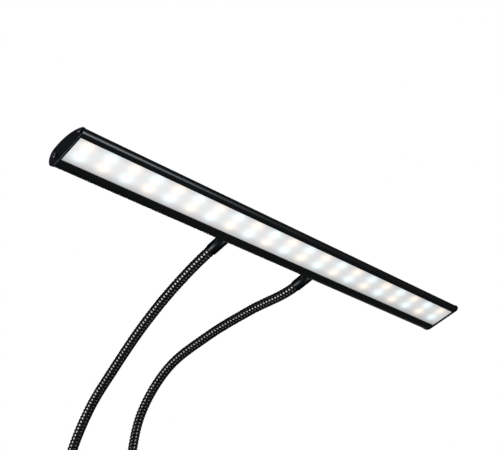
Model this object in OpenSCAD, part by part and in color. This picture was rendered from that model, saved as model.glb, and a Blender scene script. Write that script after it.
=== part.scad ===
// Music stand light: an LED lamp bar on two goosenecks over a screw clamp for the edge of a desk.
// Sizes in millimetres. X runs along the lamp bar, Y towards the back of the stand, Z up.
// The origin is the middle of the seat under the clamp's bridge.

/* [Lamp bar] */
// Length of the bar between its end caps
bar_len = 422; // [360:1:600]
// Thickness from the light face to the top of the dome
bar_thick = 15.3; // [14.5:0.1:18]
// Radius of the domed back
dome_r = 52; // [48:1:70]
// Radius of the thin front edge
nose_r = 2.8; // [2.6:0.1:3.4]
// Flat between the dome and the thick rear edge
top_flat = 3; // [1:0.5:6]
// Width of the face in front of the window
front_lip = 6.4; // [6:0.1:9]
// Width of the light window
window_w = 24.2; // [22:0.1:25]
// Depth of the light channel
channel_depth = 7; // [6.4:0.1:7.2]
// Thickness of an end cap
cap_t = 1.5; // [1:0.1:3]
// How far an end cap stands out beyond the bar's outline
cap_proud = 0.4; // [0:0.1:0.8]
// Diameter of a cap screw's head
cap_head_d = 4; // [3:0.1:4.2]
// Height of a cap screw's head
cap_head_h = 1.2; // [0.8:0.1:2]
// Diameter of a cap screw's shank and of its port
cap_shank_d = 2; // [1.6:0.1:2.2]
// Length of a cap screw in the bar
cap_screw_len = 9; // [5:0.5:14]

/* [Light] */
// Distance between columns of chips
led_pitch = 20; // [10:0.5:25]
// Distance between the two rows
led_rows = 11.4; // [8:0.1:14]
// Size of a chip along the bar
led_len = 3.5; // [2:0.1:5]
// Size of a chip across the bar
led_wid = 2.8; // [2:0.1:5]
// Height of a chip
led_h = 0.8; // [0.5:0.1:1.4]
// Width of the chips' board
led_board_w = 22; // [18:0.1:22]
// Thickness of the chips' board
led_board_t = 1.6; // [1:0.1:1.8]
// Thickness of the diffuser
diffuser_t = 2; // [1.5:0.1:2.2]
// Depth of the diffuser below the light face
diffuser_recess = 0.8; // [0.5:0.1:1]
// Width of each edge of the diffuser held in its slot
diffuser_grip = 1.7; // [1:0.1:1.8]

/* [Goosenecks] */
// Diameter over the ribs
neck_d = 9.2; // [8.8:0.1:9.6]
// Depth of a rib
rib_depth = 0.7; // [0.4:0.1:0.9]
// Distance between ribs
rib_pitch = 3.4; // [3.2:0.1:6]
// Diameter of the bore
neck_bore_d = 4; // [3.8:0.1:4.4]
// Diameter of the wire in the bore
lead_d = 2.8; // [2:0.1:3]
// Diameter of the sleeves
ferrule_d = 10.2; // [9.8:0.1:11]
// Length of a sleeve that shows
ferrule_out = 16; // [12:0.5:20]
// Length of a base sleeve above its flange
base_sleeve = 14; // [10:0.5:20]
// Distance between the goosenecks at the lamp bar
top_spacing = 99; // [90:1:110]
// Distance between the goosenecks at the base
base_spacing = 72; // [68:1:76]
// Reach from the base to the sleeves of the lamp bar
head_reach = 218; // [210:1:226]
// Rise from the base sleeves to the sleeves of the lamp bar
head_rise = 181; // [174:1:188]
// Tilt of the lamp bar
head_tilt = 15; // [5:1:25]

/* [Base housing] */
// Length of the housing
housing_len = 116; // [112:1:140]
// Depth of the housing
housing_dep = 38; // [36:1:44]
// Height of the housing
housing_h = 24; // [23:0.5:30]
// Radius of its corners
housing_corner = 8; // [6:0.5:10]
// Thickness of its sides
housing_wall = 2.2; // [1.6:0.1:3]
// Thickness of its top
housing_top = 2.5; // [1.8:0.1:3]
// Thickness of its floor
floor_t = 2.5; // [2.2:0.1:3.5]
// Diameter of a base sleeve's flange
flange_d = 14; // [12:0.5:16]
// Thickness of a base sleeve's flange
flange_t = 3; // [2:0.5:5]
// Diameter of a sleeve's threaded end in the housing
spigot_d = 8; // [7:0.5:9]
// Thickness of a nut
nut_t = 4; // [3:0.5:5]
// Width of a nut across its corners
nut_d = 14.4; // [12:0.1:15]
// Diameter of a button
button_d = 10; // [8:0.5:12]
// Height of a button above the housing
button_proud = 2; // [1.5:0.1:4]
// Travel of a button
button_travel = 0.8; // [0.4:0.1:1]
// Distance between the buttons
button_spacing = 22; // [20:1:26]
// Thickness of the control board
board_t = 1.6; // [1:0.1:2]
// Diameter of the status light
status_d = 2.4; // [1.5:0.1:4]
// Width of the power inlet
inlet_w = 9; // [8:0.1:10]
// Height of the power inlet
inlet_h = 3.3; // [3:0.1:4]

/* [Clamp] */
// Width of the clamp bracket
clamp_w = 46; // [42:1:60]
// Thickness of its bridge
bridge_t = 5; // [4:0.5:8]
// Length of its jaws
jaw_drop = 46; // [44:1:60]
// Thickness of its front jaw
front_jaw_t = 5; // [4:0.5:8]
// Thickness of its rear jaw
rear_jaw_t = 8; // [6:0.5:12]
// Distance between the jaws
mouth = 39; // [37:1:46]
// Distance from the base sleeves' axis to the front jaw
mouth_front = 17; // [15:1:20]
// Gap between the pads at rest
grip_rest = 18.5; // [10:0.5:20]
// Height of the screw's axis below the seat
screw_drop = 28; // [26:0.5:30]
// Diameter of the clamp screw
clamp_screw_d = 8; // [6:0.5:9]
// Thickness of the front pad
fixed_pad_t = 2.5; // [1.5:0.1:4]
// Diameter of the moving pad
moving_pad_d = 26; // [20:1:30]
// Thickness of the moving pad's plate
pad_plate_t = 4; // [4:0.5:5]
// Thickness of the moving pad's rubber
pad_rubber_t = 2; // [1:0.5:3]
// Diameter of the thread insert
insert_d = 12; // [11:0.5:14]
// Diameter over the knob's lobes
knob_d = 33; // [30:1:40]
// Thickness of the knob
knob_t = 14; // [10:0.5:18]
// Number of lobes
knob_lobes = 5; // [4:1:8]

/* [Hidden] */
$fn = 48;
eps = 0.01;
over = 1;
side_gap = 0.3;
fit_gap = 0.05;

// outline of the lamp bar: Y across it from the middle of the window, Z from its light face
front_y = -(window_w / 2 + front_lip);
nose_y = front_y + nose_r;
dome_z = bar_thick - dome_r;
// the nose stands out of the dome's line by this much, so that the two curves cross
nose_out = 0.04;
apex_y = nose_y + nose_out + sqrt(pow(dome_r - nose_r, 2) - pow(nose_r - dome_z, 2));
tan_dir = [nose_y + nose_out - apex_y, nose_r - dome_z] / (dome_r - nose_r);
bead_r = bar_thick / 2;
bead_y = apex_y + top_flat;
bar_back = bead_y + bead_r;
bar_wall = 1.6;
slot_clear = 0.2;
led_board_z = channel_depth - led_board_t;
hollow_from = -4;
hollow_to = window_w / 2 - bar_wall;
nose_port_in = 1.4;
nose_port_up = 1.9;
ports = [[bead_y, bead_r], [nose_y + nose_port_in, nose_r + nose_port_up]];
led_board_end = 1;
led_end_room = 10;
led_columns = 2 * floor((bar_len / 2 - led_end_room) / led_pitch) + 1;

// goosenecks
neck_r = neck_d / 2;
stub_r = neck_r - rib_depth;
stub_len = neck_d;
stub_gap = 0.1;
wire_gap = 0.5;
sleeve_bore_r = stub_r + stub_gap;
wire_hole_r = lead_d / 2 + wire_gap;
thread_r = 3;
seat_depth = 2;
seat_y = bar_back - seat_depth;
mouth_y = bar_back + ferrule_out;
lead_end_y = led_board_w / 2;
thread_wall = 1;
thread_from = window_w / 2 + thread_wall;
neck_sides = 8;
lead_sides = 6;
bore_step = 12;
lead_step = 10;
// share of a span over which a neck's direction is taken
heading_step = 0.02;

// levels of the base
housing_z = bridge_t;
floor_top = housing_z + floor_t;
roof = housing_z + housing_h;
ceiling = roof - housing_top;
board_lift = 4.5;
board_z = floor_top + board_lift;
board_top = board_z + board_t;
sleeve_foot = roof + flange_t;
neck_z = sleeve_foot + base_sleeve;
spigot_below_nut = 4.5;
spigot_foot = ceiling - nut_t - spigot_below_nut;

// housing
floor_gap = 0.15;
boss_r = 3.6;
boss_from_end = 9;
boss_from_side = 8;
boss_x = housing_len / 2 - boss_from_end;
boss_y = housing_dep / 2 - boss_from_side;
housing_pilot_r = 1.4;
housing_screw_len = 9;
housing_head_r = 2.8;
housing_head_h = 1.8;
board_end_room = 1.4;
board_half = boss_x - boss_r - board_end_room;
board_side_room = 6;
board_dep = housing_dep - 2 * board_side_room;
board_tongue = 12;
post_r = 2.5;
post_in = 4;
inlet_len = 8;
inlet_wall = 0.4;
inlet_inset = 0.4;
inlet_x = housing_len / 2 - inlet_len - inlet_inset;
inlet_back_t = 1;
inlet_tail = 2;
tongue_side = 1.2;
tongue_w = inlet_w - 2 * tongue_side;
tongue_t = 0.7;
switch_size = 6;
switch_h = 3.5;
plunger_r = 1.5;
plunger_in = 0.6;
collar_t = 1.5;
collar_rim = 1.2;
collar_drop = 1.5;
collar_r = button_d / 2 + collar_rim;
collar_z = ceiling - collar_t - collar_drop;
status_proud = 0.2;

// clamp
front_face = -mouth_front;
rear_face = front_face + mouth;
rear_out = rear_face + rear_jaw_t;
bracket_round = 4;
jaw_round = 8;
screw_r = clamp_screw_d / 2;
insert_flange_t = 2;
insert_rim = 2;
insert_flange_r = insert_d / 2 + insert_rim;
fixed_pad_h = 30;
fixed_pad_side = 3;
fixed_pad_w = clamp_w - 2 * fixed_pad_side;
pad_face = front_face + fixed_pad_t + grip_rest;
plate_face = pad_face + pad_rubber_t;
plate_back = plate_face + pad_plate_t;
nose_step = 1;
nose_d = clamp_screw_d - 2 * nose_step;
nose_in = 2.8;
knob_clear = 1.5;
knob_face = rear_out + grip_rest + knob_clear;
knob_end = knob_face + knob_t;
lobe_r = 4.6;
knob_hub_r = knob_d / 2 - lobe_r;
knob_end_t = 3;
screw_end = knob_end - knob_end_t;
cap_r = 7;
cap_recess = 1.2;
bracket_screw_x = 14;
bracket_screw_r = 2;
bracket_head_r = 3.8;
bracket_head_h = 2.4;
bracket_boss_r = 4;
bracket_boss_h = 4;

// places that each gooseneck passes, counted from where it leaves its base sleeve
left_bends = [[0, -8, 50], [-2, -37, 91], [-5, -78, 120], [-9, -123, 145], [-12, -169, 165]];
right_bends = [[-1, -3, 54], [-5, -21, 105], [-4, -60, 143], [3, -110, 163], [9, -163, 174]];

// the lamp bar stands so that the mouths of its sleeves lie at the stated reach and rise
function tilted(p) = [
    p[0],
    p[1] * cos(head_tilt) + p[2] * sin(head_tilt),
    p[2] * cos(head_tilt) - p[1] * sin(head_tilt)
];
head_pos = [0, -head_reach, neck_z + head_rise] - tilted([0, mouth_y, bead_r]);

module head() {
    translate(head_pos)
        rotate([-head_tilt, 0, 0])
            children();
}

// draws a shape given across the bar and extrudes it along the bar
module along_bar(from, length) {
    translate([from, 0, 0])
        rotate([90, 0, 90])
            linear_extrude(length)
                children();
}

// the outline of the bar, or one that stands out beyond it all round
module bar_outline(proud = 0) {
    nose = [nose_y, nose_r];
    past = nose + (nose_r + proud + over) * tan_dir;
    top = bar_thick + proud;
    translate(nose)
        circle(nose_r + proud);
    translate([bead_y, bead_r])
        circle(bead_r + proud);
    translate([apex_y, -proud])
        square([top_flat, bar_thick + 2 * proud]);
    intersection() {
        translate([apex_y, dome_z])
            circle(dome_r + proud, $fn = 240);
        polygon([[nose_y, -proud], [apex_y, -proud], [apex_y, top], [past[0], top], past, nose]);
    }
}

module bar_section() {
    difference() {
        bar_outline();
        translate([-window_w / 2, -over])
            square([window_w, channel_depth + over]);
        translate([-window_w / 2 - diffuser_grip - slot_clear / 2, diffuser_recess])
            square([window_w + 2 * diffuser_grip + slot_clear, diffuser_t + slot_clear]);
        intersection() {
            translate([apex_y, dome_z])
                circle(dome_r - bar_wall, $fn = 240);
            translate([hollow_from, channel_depth + bar_wall])
                square([hollow_to - hollow_from, bar_thick]);
        }
        for (p = ports)
            translate(p)
                circle(d = cap_shank_d);
    }
}

module bar_extrusion() {
    color("#17181b")
        head()
            difference() {
                along_bar(-bar_len / 2, bar_len)
                    bar_section();
                for (side = [-1, 1])
                    translate([side * top_spacing / 2, 0, bead_r])
                        rotate([-90, 0, 0]) {
                            translate([0, 0, lead_end_y])
                                cylinder(r = thread_r, h = bar_back);
                            translate([0, 0, seat_y])
                                cylinder(d = ferrule_d, h = bar_back);
                        }
            }
}

module diffuser() {
    color("#f4f4f0")
        head()
            along_bar(-bar_len / 2, bar_len)
                translate([-window_w / 2 - diffuser_grip, diffuser_recess])
                    square([window_w + 2 * diffuser_grip, diffuser_t]);
}

module led_board() {
    color("#e9e9e4")
        head()
            along_bar(led_board_end - bar_len / 2, bar_len - 2 * led_board_end)
                translate([-led_board_w / 2, led_board_z])
                    square([led_board_w, led_board_t]);
}

// chips of one colour stand in every other place of both rows
module chips(first) {
    for (column = [0 : led_columns - 1])
        for (row = [0, 1])
            if ((column + row) % 2 == first)
                translate([
                    (column - (led_columns - 1) / 2) * led_pitch - led_len / 2,
                    (row - 0.5) * led_rows - led_wid / 2,
                    led_board_z - led_h
                ])
                    cube([led_len, led_wid, led_h]);
}

module leds_warm() {
    color("#f6d9a0")
        head()
            chips(0);
}

module leds_cool() {
    color("#dfe9f6")
        head()
            chips(1);
}

module end_cap(from) {
    difference() {
        along_bar(from, cap_t)
            bar_outline(cap_proud);
        along_bar(from - over, cap_t + 2 * over)
            for (p = ports)
                translate(p)
                    circle(d = cap_shank_d);
    }
}

module end_cap_left() {
    color("#16181d")
        head()
            end_cap(-bar_len / 2 - cap_t);
}

module end_cap_right() {
    color("#16181d")
        head()
            end_cap(bar_len / 2);
}

module end_cap_screws() {
    color("#3a3c40")
        head()
            for (side = [-1, 1])
                for (p = ports)
                    translate([side * (bar_len / 2 + cap_t), p[0], p[1]])
                        rotate([0, side * 90, 0]) {
                            cylinder(d = cap_head_d, h = cap_head_h);
                            translate([0, 0, -cap_screw_len - cap_t])
                                cylinder(d = cap_shank_d, h = cap_screw_len + cap_t + eps);
                        }
}

module ferrule_top(side) {
    translate([side * top_spacing / 2, 0, bead_r])
        rotate([-90, 0, 0])
            rotate_extrude()
                polygon([
                    [wire_hole_r, thread_from], [thread_r, thread_from], [thread_r, seat_y],
                    [ferrule_d / 2, seat_y], [ferrule_d / 2, mouth_y], [sleeve_bore_r, mouth_y],
                    [sleeve_bore_r, mouth_y - stub_len], [wire_hole_r, mouth_y - stub_len]
                ]);
}

module ferrule_top_left() {
    color("#1b1c1f")
        head()
            ferrule_top(-1);
}

module ferrule_top_right() {
    color("#1b1c1f")
        head()
            ferrule_top(1);
}

// a gooseneck leaves its base sleeve upwards, passes its bends and meets the top sleeve squarely
function unit(v) = v / norm(v);
function base_mouth(side) = [side * base_spacing / 2, 0, neck_z];
function top_mouth(side) = head_pos + tilted([side * top_spacing / 2, mouth_y, bead_r]);
function route(side, bends) = concat(
    [base_mouth(side)], [for (b = bends) base_mouth(side) + b], [top_mouth(side)]
);
up_dir = [0, 0, 1];
in_dir = tilted([0, -1, 0]);
function slope(p, i) =
    i == 0 ? up_dir * norm(p[1] - p[0])
    : i == len(p) - 1 ? in_dir * norm(p[i] - p[i - 1])
    : (p[i + 1] - p[i - 1]) / 2;
function on_span(p, i, t) =
    (2 * pow(t, 3) - 3 * pow(t, 2) + 1) * p[i] + (pow(t, 3) - 2 * pow(t, 2) + t) * slope(p, i)
    + (3 * pow(t, 2) - 2 * pow(t, 3)) * p[i + 1] + (pow(t, 3) - pow(t, 2)) * slope(p, i + 1);
function at(p, s) =
    let (i = min(floor(s), len(p) - 2))
    on_span(p, i, s - i);
function heading(p, s) =
    s <= 0 ? up_dir
    : s >= len(p) - 1 ? in_dir
    : unit(at(p, min(s + heading_step, len(p) - 1)) - at(p, max(s - heading_step, 0)));
function sum_spans(p, i) = i < 0 ? 0 : norm(p[i + 1] - p[i]) + sum_spans(p, i - 1);

// a ring of points round the place c, square to the direction d
function ring(c, d, r, sides) =
    let (a = unit([1, 0, 0] - d[0] * d), b = cross(d, a))
    [for (k = [0 : sides - 1]) c + r * (cos(360 * k / sides) * a + sin(360 * k / sides) * b)];
function wall(first, rings, sides) = [
    for (i = [0 : rings - 2])
        for (k = [0 : sides - 1])
            let (m = (k + 1) % sides, a = first + i * sides, b = a + sides)
            each [[a + k, b + k, a + m], [a + m, b + k, b + m]]
];
function turned(faces) = [for (f = faces) [f[0], f[2], f[1]]];
function collar(outer, inner, sides) = [
    for (k = [0 : sides - 1])
        let (m = (k + 1) % sides)
        each [[outer + k, outer + m, inner + k], [outer + m, inner + m, inner + k]]
];
function fan(first, sides) = [for (k = [1 : sides - 2]) [first, first + k, first + k + 1]];

module gooseneck(side, bends) {
    p = route(side, bends);
    spans = len(p) - 1;
    ribs = round(sum_spans(p, spans - 1) / rib_pitch);
    bores = round(sum_spans(p, spans - 1) / bore_step);
    foot = p[0] - up_dir * (stub_len - stub_gap);
    top = p[spans] + in_dir * (stub_len - stub_gap);
    skin = concat(
        ring(foot, up_dir, stub_r, neck_sides),
        [for (k = [0 : 2 * ribs])
            let (s = spans * k / (2 * ribs))
            each ring(at(p, s), heading(p, s), k % 2 == 0 ? stub_r : neck_r, neck_sides)],
        ring(top, in_dir, stub_r, neck_sides)
    );
    bore = concat(
        ring(foot, up_dir, neck_bore_d / 2, neck_sides),
        [for (k = [0 : bores])
            let (s = spans * k / bores)
            each ring(at(p, s), heading(p, s), neck_bore_d / 2, neck_sides)],
        ring(top, in_dir, neck_bore_d / 2, neck_sides)
    );
    first = len(skin);
    last = first - neck_sides;
    bore_last = first + len(bore) - neck_sides;
    polyhedron(
        points = concat(skin, bore),
        faces = concat(
            wall(0, len(skin) / neck_sides, neck_sides),
            turned(wall(first, len(bore) / neck_sides, neck_sides)),
            collar(0, first, neck_sides),
            turned(collar(last, bore_last, neck_sides))
        )
    );
}

module gooseneck_left() {
    color("#202124")
        gooseneck(-1, left_bends);
}

module gooseneck_right() {
    color("#202124")
        gooseneck(1, right_bends);
}

// a wire runs from the control board up its gooseneck to the edge of the chips' board
module lead(side, bends) {
    p = route(side, bends);
    spans = len(p) - 1;
    steps = round(sum_spans(p, spans - 1) / lead_step);
    foot = [p[0][0], p[0][1], board_top];
    top = head_pos + tilted([side * top_spacing / 2, lead_end_y, bead_r]);
    skin = concat(
        ring(foot, up_dir, lead_d / 2, lead_sides),
        [for (k = [0 : steps])
            let (s = spans * k / steps)
            each ring(at(p, s), heading(p, s), lead_d / 2, lead_sides)],
        ring(top, in_dir, lead_d / 2, lead_sides)
    );
    polyhedron(
        points = skin,
        faces = concat(
            wall(0, len(skin) / lead_sides, lead_sides),
            fan(0, lead_sides),
            turned(fan(len(skin) - lead_sides, lead_sides))
        )
    );
}

module lead_left() {
    color("#b23a2e")
        lead(-1, left_bends);
}

module lead_right() {
    color("#e8e6e0")
        lead(1, right_bends);
}

module ferrule_base(side) {
    translate([side * base_spacing / 2, 0, 0])
        rotate_extrude()
            polygon([
                [wire_hole_r, spigot_foot], [spigot_d / 2, spigot_foot], [spigot_d / 2, roof],
                [flange_d / 2, roof], [flange_d / 2, sleeve_foot], [ferrule_d / 2, sleeve_foot],
                [ferrule_d / 2, neck_z], [sleeve_bore_r, neck_z],
                [sleeve_bore_r, neck_z - stub_len], [wire_hole_r, neck_z - stub_len]
            ]);
}

module ferrule_base_left() {
    color("#1b1c1f")
        ferrule_base(-1);
}

module ferrule_base_right() {
    color("#1b1c1f")
        ferrule_base(1);
}

module ferrule_nuts() {
    color("#9a9a98")
        for (side = [-1, 1])
            translate([side * base_spacing / 2, 0, ceiling - nut_t])
                difference() {
                    cylinder(d = nut_d, h = nut_t, $fn = 6);
                    translate([0, 0, -over])
                        cylinder(d = spigot_d, h = nut_t + 2 * over);
                }
}

module rounded(length, depth, r) {
    square([length - 2 * r, depth], center = true);
    square([length, depth - 2 * r], center = true);
    for (sx = [-1, 1])
        for (sy = [-1, 1])
            translate([sx * (length / 2 - r), sy * (depth / 2 - r)])
                circle(r);
}

// a slot with round ends, for the inlet
module stadium(width, height) {
    square([width - height, height], center = true);
    for (s = [-1, 1])
        translate([s * (width - height) / 2, 0])
            circle(d = height);
}

module across_inlet(from, length) {
    translate([from, 0, board_top + inlet_h / 2])
        rotate([90, 0, 90])
            linear_extrude(length)
                children();
}

module housing_corners() {
    for (sx = [-1, 1])
        for (sy = [-1, 1])
            translate([sx * boss_x, sy * boss_y, 0])
                children();
}

module housing_shell() {
    color("#1d1e21")
        difference() {
            union() {
                difference() {
                    translate([0, 0, housing_z])
                        linear_extrude(housing_h)
                            rounded(housing_len, housing_dep, housing_corner);
                    translate([0, 0, housing_z - over])
                        linear_extrude(housing_h - housing_top + over)
                            rounded(
                                housing_len - 2 * housing_wall,
                                housing_dep - 2 * housing_wall,
                                housing_corner - housing_wall
                            );
                }
                housing_corners()
                    translate([0, 0, floor_top])
                        cylinder(r = boss_r, h = ceiling - floor_top + eps);
            }
            housing_corners()
                translate([0, 0, floor_top - over])
                    cylinder(r = housing_pilot_r, h = housing_screw_len + over);
            for (side = [-1, 1]) {
                translate([side * base_spacing / 2, 0, ceiling - over])
                    cylinder(d = spigot_d, h = housing_top + 2 * over);
                translate([side * button_spacing / 2, 0, ceiling - over])
                    cylinder(r = button_d / 2 + side_gap, h = housing_top + 2 * over);
            }
            translate([0, 0, ceiling - over])
                cylinder(d = status_d, h = housing_top + 2 * over);
            across_inlet(housing_len / 2 - housing_wall - over, housing_wall + 2 * over)
                stadium(inlet_w + 2 * side_gap, inlet_h + 2 * side_gap);
        }
}

module housing_floor() {
    color("#1d1e21")
        difference() {
            union() {
                translate([0, 0, housing_z])
                    linear_extrude(floor_t)
                        rounded(
                            housing_len - 2 * housing_wall - 2 * floor_gap,
                            housing_dep - 2 * housing_wall - 2 * floor_gap,
                            housing_corner - housing_wall - floor_gap
                        );
                for (sx = [-1, 1]) {
                    for (sy = [-1, 1])
                        translate([
                            sx * (board_half - post_in),
                            sy * (board_dep / 2 - post_in),
                            floor_top - eps
                        ])
                            cylinder(r = post_r, h = board_z - floor_top + eps);
                    translate([sx * bracket_screw_x, 0, floor_top - eps])
                        cylinder(r = bracket_boss_r, h = bracket_boss_h + eps);
                }
            }
            housing_corners() {
                translate([0, 0, housing_z - over])
                    cylinder(r = housing_pilot_r, h = floor_t + 2 * over);
                translate([0, 0, housing_z])
                    cylinder(r1 = housing_head_r, r2 = housing_pilot_r, h = housing_head_h);
            }
            for (sx = [-1, 1])
                translate([sx * bracket_screw_x, 0, housing_z - over])
                    cylinder(r = bracket_screw_r, h = floor_t + bracket_boss_h + 2 * over);
        }
}

module floor_screws() {
    color("#3a3c40")
        housing_corners() {
            translate([0, 0, housing_z])
                cylinder(r1 = housing_head_r, r2 = housing_pilot_r, h = housing_head_h);
            translate([0, 0, housing_z])
                cylinder(r = housing_pilot_r, h = floor_t + housing_screw_len);
        }
}

module control_board() {
    color("#1f5a3c")
        union() {
            translate([-board_half, -board_dep / 2, board_z])
                cube([2 * board_half, board_dep, board_t]);
            translate([0, -board_tongue / 2, board_z])
                cube([inlet_x + inlet_len - inlet_tail, board_tongue, board_t]);
        }
}

module tact_switches() {
    color("#2a2b2e")
        for (side = [-1, 1])
            translate([side * button_spacing / 2, 0, board_top])
                difference() {
                    translate([-switch_size / 2, -switch_size / 2, 0])
                        cube([switch_size, switch_size, switch_h]);
                    translate([0, 0, switch_h - plunger_in - button_travel - side_gap])
                        cylinder(r = plunger_r + side_gap, h = switch_h);
                }
}

module status_light() {
    color("#dfe6e2")
        translate([0, 0, board_top])
            cylinder(d = status_d, h = roof - board_top + status_proud);
}

module usb_inlet() {
    color("#8d8f92")
        union() {
            difference() {
                across_inlet(inlet_x, inlet_len)
                    stadium(inlet_w, inlet_h);
                across_inlet(inlet_x + inlet_back_t, inlet_len)
                    stadium(inlet_w - 2 * inlet_wall, inlet_h - 2 * inlet_wall);
            }
            across_inlet(inlet_x + inlet_back_t / 2, inlet_len - inlet_tail)
                square([tongue_w, tongue_t], center = true);
        }
}

module button(side) {
    translate([side * button_spacing / 2, 0, 0]) {
        translate([0, 0, collar_z])
            cylinder(r = collar_r, h = collar_t);
        translate([0, 0, collar_z])
            cylinder(d = button_d, h = roof + button_proud - collar_z);
        translate([0, 0, board_top + switch_h - plunger_in])
            cylinder(r = plunger_r, h = collar_z - board_top - switch_h + plunger_in + eps);
    }
}

module power_button() {
    color("#2b2c30")
        button(-1);
}

module colour_button() {
    color("#2b2c30")
        button(1);
}

// the bracket seen from its side: a bridge with a jaw hanging from each end
module bracket_side() {
    difference() {
        union() {
            translate([front_face - front_jaw_t + bracket_round, -jaw_drop])
                square([mouth + front_jaw_t + rear_jaw_t - 2 * bracket_round, jaw_drop + bridge_t]);
            translate([front_face - front_jaw_t, -jaw_drop])
                square([mouth + front_jaw_t + rear_jaw_t, jaw_drop + bridge_t - bracket_round]);
            for (y = [front_face - front_jaw_t + bracket_round, rear_out - bracket_round])
                translate([y, bridge_t - bracket_round])
                    circle(bracket_round);
        }
        translate([front_face, -jaw_drop - over])
            square([mouth, jaw_drop + over]);
    }
}

// the bracket seen from the front: straight sides, round lower corners
module bracket_front() {
    translate([-clamp_w / 2, jaw_round - jaw_drop])
        square([clamp_w, jaw_drop + bridge_t - jaw_round]);
    translate([jaw_round - clamp_w / 2, -jaw_drop])
        square([clamp_w - 2 * jaw_round, jaw_drop]);
    for (s = [-1, 1])
        translate([s * (clamp_w / 2 - jaw_round), jaw_round - jaw_drop])
            circle(jaw_round);
}

module clamp_bracket() {
    color("#1b1c1f")
        difference() {
            intersection() {
                along_bar(-clamp_w / 2, clamp_w)
                    bracket_side();
                translate([0, rear_out + over, 0])
                    rotate([90, 0, 0])
                        linear_extrude(mouth + front_jaw_t + rear_jaw_t + 2 * over)
                            bracket_front();
            }
            translate([0, rear_face - over, -screw_drop])
                rotate([-90, 0, 0])
                    cylinder(d = insert_d, h = rear_jaw_t + 2 * over);
            for (sx = [-1, 1])
                translate([sx * bracket_screw_x, 0, 0]) {
                    translate([0, 0, -over])
                        cylinder(r = bracket_screw_r, h = bridge_t + 2 * over);
                    cylinder(r1 = bracket_head_r, r2 = bracket_screw_r, h = bracket_head_h);
                }
        }
}

module bracket_screws() {
    color("#3a3c40")
        for (sx = [-1, 1])
            translate([sx * bracket_screw_x, 0, 0]) {
                cylinder(r1 = bracket_head_r, r2 = bracket_screw_r, h = bracket_head_h);
                cylinder(r = bracket_screw_r, h = floor_top + bracket_boss_h);
            }
}

module fixed_pad() {
    color("#111214")
        translate([-fixed_pad_w / 2, front_face, -screw_drop - fixed_pad_h / 2])
            cube([fixed_pad_w, fixed_pad_t, fixed_pad_h]);
}

// pieces on the screw's axis, drawn along Z and laid towards the back
module on_screw(y) {
    translate([0, y, -screw_drop])
        rotate([-90, 0, 0])
            children();
}

module thread_insert() {
    color("#b8923e")
        on_screw(rear_face)
            difference() {
                union() {
                    translate([0, 0, -eps])
                        cylinder(d = insert_d, h = rear_jaw_t + eps);
                    translate([0, 0, -insert_flange_t])
                        cylinder(r = insert_flange_r, h = insert_flange_t);
                }
                translate([0, 0, -insert_flange_t - over])
                    cylinder(r = screw_r + fit_gap, h = rear_jaw_t + insert_flange_t + 2 * over);
            }
}

module moving_pad_plate() {
    color("#8f9194")
        on_screw(plate_face)
            difference() {
                cylinder(d = moving_pad_d, h = pad_plate_t);
                translate([0, 0, pad_plate_t - nose_in - side_gap])
                    cylinder(r = nose_d / 2 + fit_gap, h = pad_plate_t);
            }
}

module moving_pad_rubber() {
    color("#111214")
        on_screw(pad_face)
            cylinder(d = moving_pad_d, h = pad_rubber_t);
}

module clamp_screw() {
    color("#8f9194")
        union() {
            on_screw(plate_back - nose_in)
                cylinder(d = nose_d, h = nose_in + side_gap + eps);
            on_screw(plate_back + side_gap)
                cylinder(r = screw_r, h = screw_end - plate_back - side_gap);
        }
}

module knob_outline() {
    circle(knob_hub_r);
    for (k = [0 : knob_lobes - 1])
        rotate(360 * k / knob_lobes + 90)
            translate([knob_hub_r, 0])
                circle(lobe_r);
}

module clamp_knob() {
    color("#1d1e21")
        on_screw(knob_face)
            difference() {
                linear_extrude(knob_t)
                    knob_outline();
                translate([0, 0, -over])
                    cylinder(r = screw_r, h = screw_end - knob_face + over);
                translate([0, 0, knob_t - cap_recess])
                    cylinder(r = cap_r, h = knob_t);
            }
}

module knob_cap() {
    color("#2b2c30")
        on_screw(knob_end - cap_recess)
            cylinder(r = cap_r, h = cap_recess);
}

bar_extrusion();
diffuser();
led_board();
leds_warm();
leds_cool();
end_cap_left();
end_cap_right();
end_cap_screws();
ferrule_top_left();
ferrule_top_right();
gooseneck_left();
gooseneck_right();
lead_left();
lead_right();
ferrule_base_left();
ferrule_base_right();
ferrule_nuts();
housing_shell();
housing_floor();
floor_screws();
control_board();
tact_switches();
status_light();
usb_inlet();
power_button();
colour_button();
clamp_bracket();
bracket_screws();
fixed_pad();
thread_insert();
moving_pad_plate();
moving_pad_rubber();
clamp_screw();
clamp_knob();
knob_cap();
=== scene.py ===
"""Music stand light: the looks of its LED lamp bar, its goosenecks, its base and its desk clamp.

Sizes are in millimetres and meshes in metres. X runs along the lamp bar, Y towards the back and
Z up, and the origin is the middle of the seat under the clamp's bridge.
"""

import logging
import math
from contextlib import contextmanager
from dataclasses import dataclass, field
from enum import Enum, IntEnum
from typing import Callable, ClassVar, Iterator, Optional, Sequence, Union

import bmesh
import bpy
from mathutils import Matrix, Vector


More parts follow.
